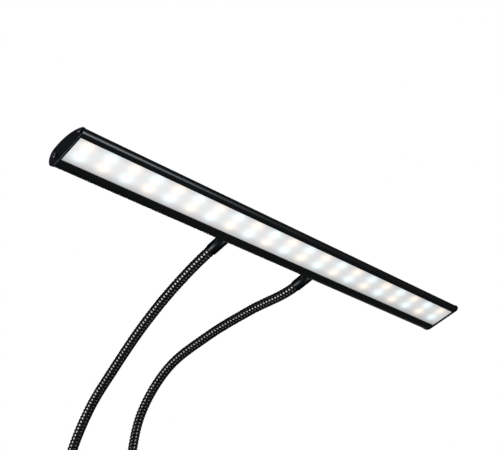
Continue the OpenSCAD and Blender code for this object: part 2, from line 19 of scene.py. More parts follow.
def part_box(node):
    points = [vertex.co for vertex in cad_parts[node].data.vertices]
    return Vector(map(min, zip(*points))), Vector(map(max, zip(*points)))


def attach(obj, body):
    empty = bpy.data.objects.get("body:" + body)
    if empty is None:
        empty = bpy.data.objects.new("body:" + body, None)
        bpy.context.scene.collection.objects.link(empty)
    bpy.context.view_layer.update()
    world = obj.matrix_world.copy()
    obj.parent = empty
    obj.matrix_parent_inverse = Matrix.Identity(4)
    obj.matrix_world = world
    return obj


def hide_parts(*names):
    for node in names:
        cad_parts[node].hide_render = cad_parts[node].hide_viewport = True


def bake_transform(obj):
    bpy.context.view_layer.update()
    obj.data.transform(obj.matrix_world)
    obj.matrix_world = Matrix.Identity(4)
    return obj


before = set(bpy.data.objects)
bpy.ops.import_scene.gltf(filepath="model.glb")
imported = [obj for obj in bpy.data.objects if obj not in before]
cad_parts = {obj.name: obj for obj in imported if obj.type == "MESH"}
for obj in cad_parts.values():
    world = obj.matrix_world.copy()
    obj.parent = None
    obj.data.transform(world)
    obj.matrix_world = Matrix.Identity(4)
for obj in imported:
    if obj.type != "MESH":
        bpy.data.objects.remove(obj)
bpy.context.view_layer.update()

LOG = logging.getLogger("music_stand_light")
MM = 0.001
Point2 = tuple[float, float]
Point3 = tuple[float, float, float]
# The rings of a turned piece, one pair each: steps in and down, or shares and levels.
Steps = tuple[Point2, ...]


class Side(Enum):
    """The two goosenecks, each with the way that it lies along X."""

    LEFT = -1
    RIGHT = 1

    @property
    def word(self) -> str:
        """The side's name as the nodes write it."""
        return self.name.lower()


class Element(Enum):
    """What a selection in edit mode is made of."""

    POINT = "VERT"
    EDGE = "EDGE"
    FACE = "FACE"


class Grain(Enum):
    """The way that the marks of a finish run, as the share of them left along X, Y and Z."""

    EVEN = (1.0, 1.0, 1.0)
    ALONG_X = (0.015, 1.0, 1.0)
    ROUND_Y = (0.02, 1.0, 0.02)
    ROUND_Z = (0.02, 0.02, 1.0)


class Sides(IntEnum):
    """How many sides a turned piece has, by its size."""

    SMALL = 32
    PLAIN = 48
    LARGE = 64


def linear(hex_code: str) -> tuple[float, float, float, float]:
    """Turns an sRGB colour into the linear one that a shader takes.

    Args:
        hex_code: the colour as #rrggbb.

    Returns:
        Linear red, green, blue and an alpha of 1.
    """
    parts = [int(hex_code[i:i + 2], 16) / 255 for i in (1, 3, 5)]
    # the numbers are those of the sRGB standard
    return (*[p / 12.92 if p <= 0.04045 else ((p + 0.055) / 1.055) ** 2.4 for p in parts], 1.0)


def add_node(
    tree: bpy.types.NodeTree,
    kind: str,
    inputs: Optional[dict[Union[str, int], object]] = None,
    **settings: object,
) -> bpy.types.Node:
    """Adds one node with its settings and links.

    Args:
        tree: the node tree that takes it.
        kind: Blender's name for the kind of node.
        inputs: what its sockets get, by name or number. A socket given here is linked.
        settings: the node's own properties.

    Returns:
        The new node.
    """
    node = tree.nodes.new(kind)
    for key, value in settings.items():
        setattr(node, key, value)
    for key, value in (inputs or {}).items():
        if isinstance(value, bpy.types.NodeSocket):
            tree.links.new(value, node.inputs[key])
        else:
            node.inputs[key].default_value = value
    return node


def find_node(tree: bpy.types.NodeTree, kind: str) -> bpy.types.Node:
    """Finds the first node of a kind in a tree."""
    return next(node for node in tree.nodes if node.bl_idname == kind)


# Finishes


@dataclass(frozen=True)
class Finish:
    """A surface with fine marks: what it is made of, its colour and gloss, and its grain.

    Attributes:
        name: what the material is and how its surface was made.
        colour: the colour as sRGB hex.
        second: the colour that it drifts towards in soft patches.
        roughness: the middle of its roughness.
        spread: how far the roughness wanders to each side.
        metallic: 1 on a metal.
        specular: the level of its reflection, where 0.5 is that of its index.
        edge: how much a metal brightens at a glancing angle, as a grey.
        grain_mm: the size of its marks.
        grain: the way that they run.
        relief_mm: how deep they are.
        patch_mm: the size of the soft patches of colour.
        glow: the colour of its own light, if it has any.
        glow_strength: how strong that light is.
        mark_detail: how many finer layers the marks have.
        mark_share: the strength of each finer layer beside the one before it.
        patch_detail: how many finer layers the patches have.
    """

    name: str
    colour: str
    second: str
    roughness: float
    spread: float = 0.05
    metallic: float = 0.0
    specular: float = 0.5
    edge: float = 1.0
    grain_mm: float = 0.5
    grain: Grain = Grain.EVEN
    relief_mm: float = 0.01
    patch_mm: float = 18.0
    glow: str = "#000000"
    glow_strength: float = 0.0
    mark_detail: ClassVar[float] = 3.0
    mark_share: ClassVar[float] = 0.6
    patch_detail: ClassVar[float] = 2.0

    def material(self) -> bpy.types.Material:
        """Gives the finish's material, made the first time that it is asked for.

        Returns:
            The material.
        """
        made = bpy.data.materials.get(self.name)
        if made is None:
            made = bpy.data.materials.new(self.name)
            made.use_nodes = True
            made.node_tree.nodes.clear()
            self.paint(made.node_tree)
        return made

    def paint(self, tree: bpy.types.NodeTree) -> None:
        """Lays the finish's nodes.

        Args:
            tree: the empty node tree of its material.
        """
        shader = add_node(tree, "ShaderNodeBsdfPrincipled", {
            "Metallic": self.metallic,
            "Specular IOR Level": self.specular,
            "Specular Tint": (self.edge, self.edge, self.edge, 1.0),
            "Emission Color": linear(self.glow),
            "Emission Strength": self.glow_strength,
        })
        add_node(tree, "ShaderNodeOutputMaterial", {"Surface": shader.outputs["BSDF"]})
        coords = add_node(tree, "ShaderNodeTexCoord").outputs["Object"]
        marks = self.marks(tree, coords)
        tree.links.new(self.tone(tree, coords), shader.inputs["Base Color"])
        tree.links.new(
            add_node(tree, "ShaderNodeMapRange", {
                "Value": marks,
                "To Min": self.roughness - self.spread,
                "To Max": self.roughness + self.spread,
            }).outputs["Result"],
            shader.inputs["Roughness"],
        )
        tree.links.new(
            add_node(tree, "ShaderNodeBump", {
                "Height": marks, "Strength": 1.0, "Distance": self.relief_mm * MM,
            }).outputs["Normal"],
            shader.inputs["Normal"],
        )

    def marks(self, tree: bpy.types.NodeTree, coords: bpy.types.NodeSocket) -> bpy.types.NodeSocket:
        """Draws the fine marks.

        Args:
            tree: the material's node tree.
            coords: the place on the piece.

        Returns:
            The marks as heights from 0 to 1.
        """
        turned = add_node(tree, "ShaderNodeMapping", {"Vector": coords, "Scale": self.grain.value})
        return add_node(tree, "ShaderNodeTexNoise", {
            "Vector": turned.outputs["Vector"],
            "Scale": 1 / (self.grain_mm * MM),
            "Detail": self.mark_detail,
            "Roughness": self.mark_share,
        }).outputs["Fac"]

    def tone(self, tree: bpy.types.NodeTree, coords: bpy.types.NodeSocket) -> bpy.types.NodeSocket:
        """Mixes the two colours in soft patches.

        Args:
            tree: the material's node tree.
            coords: the place on the piece.

        Returns:
            The colour at that place.
        """
        patches = add_node(tree, "ShaderNodeTexNoise", {
            "Vector": coords, "Scale": 1 / (self.patch_mm * MM), "Detail": self.patch_detail,
        })
        return add_node(tree, "ShaderNodeMix", {
            "Factor": patches.outputs["Fac"], "A": linear(self.colour), "B": linear(self.second),
        }, data_type="RGBA").outputs["Result"]


@dataclass(frozen=True)
class WoundFinish(Finish):
    """Black plated spring wire, with painted shade darkening the grooves between its turns; its crowns keep
    the wire's own colour.

    Attributes:
        groove: the colour of the painted shade in the grooves.
        rubbed_from: the share of a rib's height from which the painted shade fades out towards the crown.
    """

    groove: str = "#08080a"
    rubbed_from: float = 0.3

    def tone(self, tree: bpy.types.NodeTree, coords: bpy.types.NodeSocket) -> bpy.types.NodeSocket:
        """Darkens the grooves with painted shade.

        Args:
            tree: the material's node tree.
            coords: the place on the piece.

        Returns:
            The colour at that place.
        """
        rubbed = super().tone(tree, coords)
        height = add_node(tree, "ShaderNodeAttribute", attribute_name="crown").outputs["Fac"]
        crown = add_node(tree, "ShaderNodeMapRange", {
            "Value": height, "From Min": self.rubbed_from,
        }, interpolation_type="SMOOTHSTEP").outputs["Result"]
        # painted shade: the grooves take the dark groove colour, which fades out towards the crowns
        return add_node(tree, "ShaderNodeMix", {
            "Factor": crown, "A": linear(self.groove), "B": rubbed,
        }, data_type="RGBA").outputs["Result"]


@dataclass(frozen=True)
class FloorFinish(Finish):
    """Matt paint on a floor that fades out into the white round it and hides nothing from below.

    Attributes:
        middle: where the floor's middle lies.
        fade: the distances from there at which the fade starts and ends.
    """

    middle: Point3 = (0.0, 0.0, 0.0)
    fade: Point2 = (300.0, 600.0)

    def paint(self, tree: bpy.types.NodeTree) -> None:
        """Lays the paint's nodes and clears the floor's rim and its underside.

        Args:
            tree: the empty node tree of its material.
        """
        super().paint(tree)
        shader = find_node(tree, "ShaderNodeBsdfPrincipled")
        output = find_node(tree, "ShaderNodeOutputMaterial")
        coords = find_node(tree, "ShaderNodeTexCoord").outputs["Object"]
        away = add_node(tree, "ShaderNodeVectorMath", {
            0: coords, 1: [MM * c for c in self.middle],
        }, operation="DISTANCE").outputs["Value"]
        rim = add_node(tree, "ShaderNodeMapRange", {
            "Value": away, "From Min": self.fade[0] * MM, "From Max": self.fade[1] * MM,
        }, interpolation_type="SMOOTHSTEP").outputs["Result"]
        under = add_node(tree, "ShaderNodeNewGeometry").outputs["Backfacing"]
        clear = add_node(tree, "ShaderNodeMath", {0: rim, 1: under}, operation="MAXIMUM").outputs[0]
        glass = add_node(tree, "ShaderNodeBsdfTransparent").outputs["BSDF"]
        mixed = add_node(tree, "ShaderNodeMixShader", {0: clear, 1: shader.outputs["BSDF"], 2: glass})
        tree.links.new(mixed.outputs["Shader"], output.inputs["Surface"])


@dataclass(frozen=True)
class OpalFinish(Finish):
    """Opal acrylic over two rows of chips, which show through it as soft warm and cool spots.

    Attributes:
        place: where the middle of the light face lies.
        tilt: how far the lamp bar leans, in degrees.
        pitch: the distance between columns of chips.
        rows: the distance at which the two rows show through the panel.
        shift: how far the spots show off their chips, because the chips lie behind the panel.
        spot: the reach of a spot's soft edge along the bar and across it.
        warm: the colour of a warm chip's light.
        cool: the colour of a cool chip's light.
        between: the colour of the even light between the spots.
        half: half the length of the lamp bar.
        level: the even light at the left end and at the right end; its fall along the bar is painted shade.
        peak: the light of a spot at the left end and at the right end; its rise along the bar is painted
            light.
        rear_fade: where painted shade starts towards the rear edge, where it ends, and the light's share
            there.
        front_fade: the same painted shade towards the front edge.
    """

    place: Point3 = (0.0, 0.0, 0.0)
    tilt: float = 15.0
    pitch: float = 20.0
    rows: float = 11.0
    shift: Point2 = (-1.5, -1.65)
    spot: Point2 = (3.4, 3.4)
    warm: str = "#ffd9ad"
    cool: str = "#ccf7ff"
    between: str = "#fbfcfd"
    half: float = 211.0
    level: Point2 = (0.56, 0.432)
    peak: Point2 = (0.46, 0.50)
    rear_fade: Point3 = (3.5, 12.5, 0.50)
    front_fade: Point3 = (-5.5, -12.5, 0.75)

    def paint(self, tree: bpy.types.NodeTree) -> None:
        """Lays the panel's nodes and adds the light of its chips.

        Args:
            tree: the empty node tree of its material.
        """
        super().paint(tree)
        shader = find_node(tree, "ShaderNodeBsdfPrincipled")
        coords = find_node(tree, "ShaderNodeTexCoord").outputs["Object"]
        on_face = add_node(tree, "ShaderNodeMapping", {
            "Vector": coords,
            "Location": [MM * c for c in self.place],
            "Rotation": (math.radians(-self.tilt), 0.0, 0.0),
            "Scale": (MM, MM, MM),
        }, vector_type="TEXTURE")
        axes = add_node(tree, "ShaderNodeSeparateXYZ", {"Vector": on_face.outputs["Vector"]})
        light = self.glowing(tree, axes.outputs["X"], axes.outputs["Y"])
        tree.links.new(light, shader.inputs["Emission Color"])

    def glowing(
        self, tree: bpy.types.NodeTree, along: bpy.types.NodeSocket, across: bpy.types.NodeSocket
    ) -> bpy.types.NodeSocket:
        """Adds the even light and the spots of the nearest column.

        Args:
            tree: the material's node tree.
            along: the place along the bar.
            across: the place across it.

        Returns:
            The light that leaves the panel there.
        """
        values: dict[object, object] = {"along": along, "across": across}
        ends = (-self.half, self.half)
        # painted light and shade: the even light falls and the spots brighten from the left end to the
        # right, and the panel darkens towards its rear and front edges, under the bar's lips
        for name, place, stretch, give in (
            ("level", "along", ends, self.level),
            ("peak", "along", ends, self.peak),
            ("rear", "across", self.rear_fade[:2], (1.0, self.rear_fade[2])),
            ("front", "across", self.front_fade[1::-1], (self.front_fade[2], 1.0)),
        ):
            values[name] = add_node(tree, "ShaderNodeMapRange", {
                "Value": values[place], "From Min": stretch[0], "From Max": stretch[1],
                "To Min": give[0], "To Max": give[1],
            }, interpolation_type="SMOOTHSTEP").outputs["Result"]
        sums = [
            ("fade", "MULTIPLY", "rear", "front"),
            ("even", "MULTIPLY", "level", "fade"),
            ("seen_along", "SUBTRACT", "along", self.shift[0]),
            ("columns", "DIVIDE", "seen_along", self.pitch),
            ("column", "ROUND", "columns", 0.0),
            ("odd", "PINGPONG", "column", 1.0),
            ("column_at", "MULTIPLY", "column", self.pitch),
            ("aside", "SUBTRACT", "seen_along", "column_at"),
            ("aside_share", "DIVIDE", "aside", self.spot[0]),
            ("aside_square", "MULTIPLY", "aside_share", "aside_share"),
        ]
        rows = (("front_row", -1, (self.warm, self.cool)), ("rear_row", 1, (self.cool, self.warm)))
        for row, way, _ in rows:
            sums += [
                (f"{row}_off", "SUBTRACT", "across", way * self.rows / 2 + self.shift[1]),
                (f"{row}_share", "DIVIDE", f"{row}_off", self.spot[1]),
                (f"{row}_square", "MULTIPLY", f"{row}_share", f"{row}_share"),
                (f"{row}_sum", "ADD", f"{row}_square", "aside_square"),
                (f"{row}_half", "MULTIPLY", f"{row}_sum", -0.5),
                (f"{row}_fall", "EXPONENT", f"{row}_half", 0.0),
                (f"{row}_light", "MULTIPLY", f"{row}_fall", "peak"),
            ]
        for name, operation, *pair in sums:
            sockets = {number: values.get(value, value) for number, value in enumerate(pair)}
            values[name] = add_node(tree, "ShaderNodeMath", sockets, operation=operation).outputs[0]
        light = add_node(tree, "ShaderNodeVectorMath", {
            0: linear(self.between)[:3], "Scale": values["even"],
        }, operation="SCALE").outputs["Vector"]
        for row, _, tints in rows:
            tint = add_node(tree, "ShaderNodeMix", {
                "Factor": values["odd"], "A": linear(tints[0]), "B": linear(tints[1]),
            }, data_type="RGBA").outputs["Result"]
            beam = add_node(tree, "ShaderNodeVectorMath", {
                0: tint, "Scale": values[f"{row}_light"],
            }, operation="SCALE").outputs["Vector"]
            light = add_node(tree, "ShaderNodeVectorMath", {0: light, 1: beam}).outputs["Vector"]
        return light


class Finishes:
    """The finishes of the music stand light, each named for what it is."""

    # dyed oxide film over extruded aluminium: satin, with faint lines along the bar; the film
    # takes light up, so it brightens at the most glancing angles alone
    anodised = Finish(
        "black anodised aluminium", "#141516", "#111213", 0.33, 0.03, metallic=1.0, edge=0.5,
        grain_mm=0.5, grain=Grain.ALONG_X, relief_mm=0.004, patch_mm=40.0,
    )
    # the same film on a stamped plate, a little bluer and finely pickled
    cap_plate = Finish(
        "blue black anodised plate", "#14161a", "#111317", 0.3, 0.04, metallic=1.0, edge=0.48,
        grain_mm=0.4, relief_mm=0.006,
    )
    # turned steel under a black oxide: satin and nearly black, with a narrow line of light
    sleeve_top = Finish(
        "black oxide on turned steel", "#0f1011", "#0c0d0e", 0.3, 0.04, metallic=1.0, edge=0.15,
        grain_mm=0.3, relief_mm=0.004,
    )
    # the same oxide on the upright sleeves, where the fine lines of the lathe run round
    sleeve_base = Finish(
        "black oxide on turned steel, upright", "#0f1011", "#0c0d0e", 0.3, 0.04, metallic=1.0, edge=0.15,
        grain_mm=0.3, grain=Grain.ROUND_Z, relief_mm=0.004,
    )
    # plated spring wire wound tight: glossy on its crowns, with painted shade darkening the grooves between
    # its turns
    wound = WoundFinish(
        "black plated spring wire", "#212221", "#1c1d1c", 0.17, 0.03, metallic=1.0, edge=0.3,
        grain_mm=0.3, relief_mm=0.003, patch_mm=9.0,
    )
    # moulded ABS with a spark eroded texture: matt black; the pits, about 0.3 mm on the real
    # part, are drawn coarser so that they show
    housing = Finish(
        "moulded black ABS", "#17181a", "#131416", 0.46, 0.08, specular=0.4,
        grain_mm=1.1, relief_mm=0.035,
    )
    # the same resin from a polished mould: smoother than the housing
    button = Finish(
        "polished black ABS", "#1d1e21", "#191a1c", 0.28, 0.04, specular=0.5, grain_mm=0.6, relief_mm=0.004,
    )
    # ink laid on by a soft pad: even, matt and a little grey
    print_white = Finish(
        "pad printed white ink", "#d5d6d4", "#c9cac8", 0.5, 0.06, grain_mm=0.2, relief_mm=0.004,
    )
    # powder coat on a pressed bracket: fine orange peel, drawn about twice as coarse so that it shows
    powder = Finish(
        "black powder coat", "#1a1b1d", "#161719", 0.4, 0.08, specular=0.45,
        grain_mm=1.8, relief_mm=0.05,
    )
    # nitrile rubber: dull, with a dusty bloom; its grain is drawn about twice as coarse so that it shows
    rubber = Finish(
        "black nitrile rubber", "#141415", "#1b1b1c", 0.78, 0.08, specular=0.25,
        grain_mm=0.8, relief_mm=0.03, patch_mm=6.0,
    )
    # zinc plated steel: bright, with fine turning lines
    steel = Finish(
        "zinc plated steel", "#b4b7ba", "#a4a7ab", 0.3, 0.08, metallic=1.0, grain_mm=0.25,
        grain=Grain.ROUND_Y, relief_mm=0.006,
    )
    # thin nickel over a stamped shell: bright grey, a little uneven
    inlet_steel = Finish(
        "stamped nickel plated steel", "#9c9ea1", "#8e9094", 0.28, 0.06, metallic=1.0,
        grain_mm=0.2, relief_mm=0.004,
    )
    # zinc passivated black: nearly black, with a dull metal shine
    dark_screw = Finish(
        "black zinc on steel", "#2c2d30", "#232427", 0.3, 0.07, metallic=1.0, edge=0.7,
        grain_mm=0.2, relief_mm=0.006,
    )
    # brass off the lathe: yellow, with fine lines round it
    brass = Finish(
        "turned brass", "#c39c4c", "#b08a3f", 0.28, 0.07, metallic=1.0, grain_mm=0.25,
        grain=Grain.ROUND_Y, relief_mm=0.006,
    )
    # solder mask over glass fibre: eggshell white
    white_board = Finish(
        "white solder mask", "#dedfdb", "#d3d4cf", 0.4, 0.05, grain_mm=0.6, relief_mm=0.01,
    )
    # the same mask in green, lighter and darker over the copper
    green_board = Finish(
        "green solder mask", "#1d5a3c", "#174c31", 0.35, 0.05, grain_mm=0.7, relief_mm=0.012, patch_mm=5.0,
    )
    # phosphor in clear silicone: amber on the warm chips and straw yellow on the cool ones
    warm_chip = Finish(
        "warm phosphor", "#f2c56a", "#e8b75a", 0.5, 0.05, grain_mm=0.2, glow="#ffd9a0", glow_strength=1.0,
    )
    cool_chip = Finish(
        "cool phosphor", "#e9e3a8", "#dfd897", 0.5, 0.05, grain_mm=0.2, glow="#dff3ff", glow_strength=1.0,
    )
    # glass filled nylon: dull dark grey
    switch = Finish("moulded switch body", "#26272a", "#202124", 0.42, 0.05, grain_mm=0.3)
    # clear acrylic over a small lamp: glossy, with a pale green glow
    lens = Finish(
        "clear acrylic light pipe", "#d9efe0", "#cfe8d8", 0.18, 0.04, grain_mm=0.5, relief_mm=0.003,
        glow="#8dffc0", glow_strength=0.5,
    )
    # soft silicone: dull, with an even colour
    red_wire = Finish("red silicone insulation", "#a8382d", "#962f26", 0.5, 0.06, grain_mm=0.4)
    white_wire = Finish("white silicone insulation", "#dedcd6", "#d2d0c9", 0.5, 0.06, grain_mm=0.4)


# Modelling

# Nearer than this to a place counts as at it.
NEAR = 0.1
# How far a cutting tool reaches past what it cuts.
PAST = 1.0
# Half the width of a cross recess's arms as a share of their reach.
CROSS_ARM = 0.3
# How far past the angle of its broken edges a piece is shaded smoothly, in degrees.
SMOOTH_PAST = 8.0


@dataclass(frozen=True)
class Line:
    """A straight stroke of an outline in the plane across X, to a place given by Y and Z."""

    to: Point2


@dataclass(frozen=True)
class Arc:
    """A round stroke about a centre given by Y and Z, over a turn in degrees, in so many parts."""

    centre: Point2
    turn: float
    parts: int


Stroke = Union[Line, Arc]


def deselect_all() -> None:
    """Leaves nothing selected, so that an operator acts on one piece alone."""
    bpy.ops.object.select_all(action="DESELECT")


def about_y(place: Point3) -> Matrix:
    """Gives the place of a piece that is turned about Z and laid towards the back from a point."""
    return Matrix.Translation(Vector(place) * MM) @ Matrix.Rotation(math.radians(-90), 4, "X")


def upright(x: float, y: float = 0.0) -> Matrix:
    """Gives the place of an upright piece."""
    return Matrix.Translation(Vector((x, y, 0)) * MM)


def rings(radius: float, level: float, steps: Steps) -> list[Point2]:
    """Lays the rings of a round by its steps in from a radius and down from a level."""
    return [(radius - inset, level - drop) for inset, drop in steps]


class Piece:
    """One mesh under work: started from a primitive, shaped in edit mode, finished with modifiers."""

    def __init__(self, name: str) -> None:
        """Takes over the object that an operator has just made, and names it."""
        self.obj: bpy.types.Object = bpy.context.object
        self.obj.name = self.obj.data.name = name

    @classmethod
    def dot(cls, name: str, place: Vector) -> "Piece":
        """Starts a piece as one point, from which an outline is drawn.

        Args:
            name: the piece's name.
            place: where the point lies, in metres.

        Returns:
            The new piece.
        """
        deselect_all()
        bpy.ops.mesh.primitive_plane_add(size=MM)
        piece = cls(name)
        with piece.editing():
            bpy.ops.mesh.select_all(action="SELECT")
            bpy.ops.mesh.merge(type="CENTER")
            bpy.ops.transform.translate(value=place)
        return piece

    @classmethod
    def drawn(cls, name: str, start: Point2, strokes: Sequence[Stroke], ends: Point2) -> "Piece":
        """Draws an outline across X and extrudes it along X.

        Args:
            name: the piece's name.
            start: Y and Z of the outline's first point.
            strokes: the strokes after it; the last point joins the first.
            ends: the places along X where the piece begins and ends.

        Returns:
            The new piece.
        """
        here = Vector((ends[0], *start)) * MM
        piece = cls.dot(name, here)
        with piece.editing():
            bpy.ops.mesh.select_all(action="SELECT")
            for stroke in strokes:
                if isinstance(stroke, Line):
                    there = Vector((ends[0], *stroke.to)) * MM
                    bpy.ops.mesh.extrude_region_move(TRANSFORM_OT_translate={"value": there - here})
                    here = there
                else:
                    centre = Vector((ends[0], *stroke.centre)) * MM
                    turn = math.radians(stroke.turn)
                    bpy.ops.mesh.spin(steps=stroke.parts, angle=-turn, center=centre, axis=(1, 0, 0))
                    here = centre + Matrix.Rotation(turn, 3, "X") @ (here - centre)
            bpy.ops.mesh.select_all(action="SELECT")
            bpy.ops.mesh.edge_face_add()
            along = Vector(((ends[1] - ends[0]) * MM, 0, 0))
            bpy.ops.mesh.extrude_region_move(TRANSFORM_OT_translate={"value": along})
        return piece.turn_outwards()

    @classmethod
    def turned(cls, name: str, profile: Sequence[Point2], sides: int = Sides.PLAIN) -> "Piece":
        """Turns a piece about Z: a disc, extruded and resized from ring to ring.

        Args:
            name: the piece's name.
            profile: radius and height of each ring.
            sides: the number of sides.

        Returns:
            The new piece.
        """
        deselect_all()
        radius, level = profile[0]
        bpy.ops.mesh.primitive_circle_add(vertices=int(sides), radius=radius * MM, fill_type="NGON")
        piece = cls(name)
        with piece.editing():
            bpy.ops.mesh.select_all(action="SELECT")
            bpy.ops.transform.translate(value=(0, 0, level * MM))
        return piece.ringed(profile)

    @classmethod
    def rod(cls, name: str, radius: float, levels: Sequence[float], sides: int = Sides.PLAIN) -> "Piece":
        """Turns a plain rod about Z with a ring at each level."""
        return cls.turned(name, [(radius, level) for level in levels], sides)

    @classmethod
    def wound(
        cls, name: str, tooth: Sequence[Vector], pitch: float, turns: int, sides: int, weld: float
    ) -> "Piece":
        """Draws the profile of one turn beside Z and winds it up Z.

        Args:
            name: the piece's name.
            tooth: the profile's points, in metres.
            pitch: how far one turn climbs.
            turns: the number of turns.
            sides: the number of sides of a turn.
            weld: points nearer to each other than this become one.

        Returns:
            The new piece, open at its ends.
        """
        piece = cls.dot(name, tooth[0])
        with piece.editing():
            bpy.ops.mesh.select_all(action="SELECT")
            for here, there in zip(tooth, tooth[1:]):
                bpy.ops.mesh.extrude_region_move(TRANSFORM_OT_translate={"value": there - here})
        piece.finish_with(
            "SCREW", axis="Z", angle=math.tau, screw_offset=pitch * MM, iterations=turns,
            steps=int(sides), render_steps=int(sides),
        )
        with piece.editing():
            bpy.ops.mesh.select_all(action="SELECT")
            bpy.ops.mesh.remove_doubles(threshold=weld * MM)
        return piece

    @classmethod
    def block(cls, name: str, low: Sequence[float], high: Sequence[float]) -> "Piece":
        """Starts a piece as a block between two corners.

        Args:
            name: the piece's name.
            low: its lowest corner.
            high: its highest corner.

        Returns:
            The new piece.
        """
        deselect_all()
        low, high = Vector(low) * MM, Vector(high) * MM
        bpy.ops.mesh.primitive_cube_add(size=1, location=(low + high) / 2, scale=high - low)
        return cls(name).placed(Matrix.Identity(4), keep=True)

    @contextmanager
    def editing(self) -> Iterator[bmesh.types.BMesh]:
        """Opens the piece alone in edit mode and closes it again.

        Yields:
            Its mesh in edit mode.
        """
        self.take_up()
        bpy.ops.object.mode_set(mode="EDIT")
        bpy.ops.mesh.select_mode(type=Element.POINT.value)
        yield bmesh.from_edit_mesh(self.obj.data)
        bpy.ops.object.mode_set(mode="OBJECT")

    def take_up(self) -> None:
        """Makes the piece the only selected object."""
        deselect_all()
        self.obj.select_set(True)
        bpy.context.view_layer.objects.active = self.obj

    def ringed(self, profile: Sequence[Point2]) -> "Piece":
        """Extrudes a flat face along Z and resizes it, from ring to ring.

        Args:
            profile: radius and height of each ring, with the face itself first.

        Returns:
            The piece.
        """
        with self.editing():
            bpy.ops.mesh.select_all(action="SELECT")
            for (radius, height), (next_radius, next_height) in zip(profile, profile[1:]):
                rise = (next_height - height) * MM
                share = next_radius / radius
                bpy.ops.mesh.extrude_region_move(TRANSFORM_OT_translate={"value": (0, 0, rise)})
                bpy.ops.transform.resize(value=(share, share, 1))
        return self.turn_outwards()

    def turn_outwards(self) -> "Piece":
        """Points every face outwards.

        Returns:
            The piece.
        """
        with self.editing():
            bpy.ops.mesh.select_all(action="SELECT")
            bpy.ops.mesh.normals_make_consistent(inside=False)
        return self

    def pick(self, element: Element, test: Callable[[Vector], bool]) -> None:
        """Selects, in edit mode, what passes a test of its place.

        Args:
            element: what is selected.
            test: takes the middle of each in millimetres and says whether it is wanted.
        """
        bpy.ops.mesh.select_mode(type=element.value)
        bpy.ops.mesh.select_all(action="DESELECT")
        mesh = bmesh.from_edit_mesh(self.obj.data)
        found = mesh.edges if element is Element.EDGE else mesh.faces
        for item in found:
            corners = [v.co for v in item.verts]
            if test(sum(corners, Vector()) / len(corners) / MM):
                item.select_set(True)
        mesh.select_flush_mode()
        bmesh.update_edit_mesh(self.obj.data)

    def round_edges(self, test: Callable[[Vector], bool], width: float, parts: int) -> "Piece":
        """Rounds chosen edges.

        Args:
            test: takes the middle of each edge and says whether it is rounded.
            width: the radius.
            parts: the number of parts of the round.

        Returns:
            The piece.
        """
        with self.editing():
            self.pick(Element.EDGE, test)
            bpy.ops.mesh.bevel(offset=width * MM, segments=parts, affect="EDGES")
        return self

    def trimmed(self, low: float, high: float) -> "Piece":
        """Cuts off both ends and closes the cuts.

        Args:
            low: what lies below this level goes.
            high: what lies above this level goes.

        Returns:
            The piece.
        """
        for level, way in ((low, -1), (high, 1)):
            with self.editing():
                bpy.ops.mesh.select_all(action="SELECT")
                bpy.ops.mesh.bisect(
                    plane_co=(0, 0, level * MM), plane_no=(0, 0, way), clear_outer=True, use_fill=True
                )
        return self

    def finish_with(self, kind: str, **settings: object) -> "Piece":
        """Adds a modifier and applies it.

        Args:
            kind: Blender's name for the kind of modifier.
            settings: its properties.

        Returns:
            The piece.
        """
        self.take_up()
        modifier = self.obj.modifiers.new(kind.lower(), kind)
        for key, value in settings.items():
            setattr(modifier, key, value)
        bpy.ops.object.modifier_apply(modifier=modifier.name)
        return self

    def soften(self, width: float, parts: int = 2, angle: float = 32.0) -> "Piece":
        """Breaks the sharp edges, as a maker does, and keeps the flats flat to the eye.

        Args:
            width: the width of the broken edge.
            parts: the number of parts of its round.
            angle: edges sharper than this many degrees are broken.

        Returns:
            The piece.
        """
        self.finish_with(
            "BEVEL", width=width * MM, segments=parts, limit_method="ANGLE", angle_limit=math.radians(angle)
        )
        self.smooth(angle + SMOOTH_PAST)
        return self.finish_with("WEIGHTED_NORMAL", keep_sharp=True)

    def smooth(self, angle: float = 35.0) -> "Piece":
        """Shades the piece smoothly, apart from its sharp edges.

        Args:
            angle: edges sharper than this many degrees stay sharp.

        Returns:
            The piece.
        """
        self.take_up()
        bpy.ops.object.shade_smooth_by_angle(angle=math.radians(angle))
        return self

    def cut(self, *tools: "Piece") -> "Piece":
        """Cuts other pieces out of this one and throws them away.

        Args:
            tools: the pieces to cut out.

        Returns:
            The piece.
        """
        for tool in tools:
            self.finish_with("BOOLEAN", operation="DIFFERENCE", solver="EXACT", object=tool.obj)
            bpy.data.objects.remove(tool.obj)
        return self

    def placed(self, matrix: Matrix, keep: bool = False) -> "Piece":
        """Moves the piece and lays its place down in its mesh.

        Args:
            matrix: where the piece goes.
            keep: whether the place that the object already has is kept.

        Returns:
            The piece.
        """
        self.take_up()
        self.obj.matrix_world = matrix @ self.obj.matrix_world if keep else matrix
        bpy.ops.object.transform_apply(location=True, rotation=True, scale=True)
        return self

    def copied(self, name: str) -> "Piece":
        """Copies the piece with a mesh of its own.

        Args:
            name: the copy's name.

        Returns:
            The copy.
        """
        self.take_up()
        bpy.ops.object.duplicate()
        return Piece(name)

    def joined(self, others: Sequence["Piece"]) -> "Piece":
        """Takes other pieces into this one as loose parts.

        Args:
            others: the pieces taken in.

        Returns:
            The piece.
        """
        self.take_up()
        for other in others:
            other.obj.select_set(True)
        bpy.ops.object.join()
        return self

    def repeated(self, name: str, places: Sequence[Matrix]) -> "Piece":
        """Copies the piece to several places and throws the first one away.

        Args:
            name: the name of all the copies together.
            places: where the copies go.

        Returns:
            The copies as one piece.
        """
        copies = [self.copied(name).placed(place) for place in places]
        bpy.data.objects.remove(self.obj)
        return copies[0].joined(copies[1:])

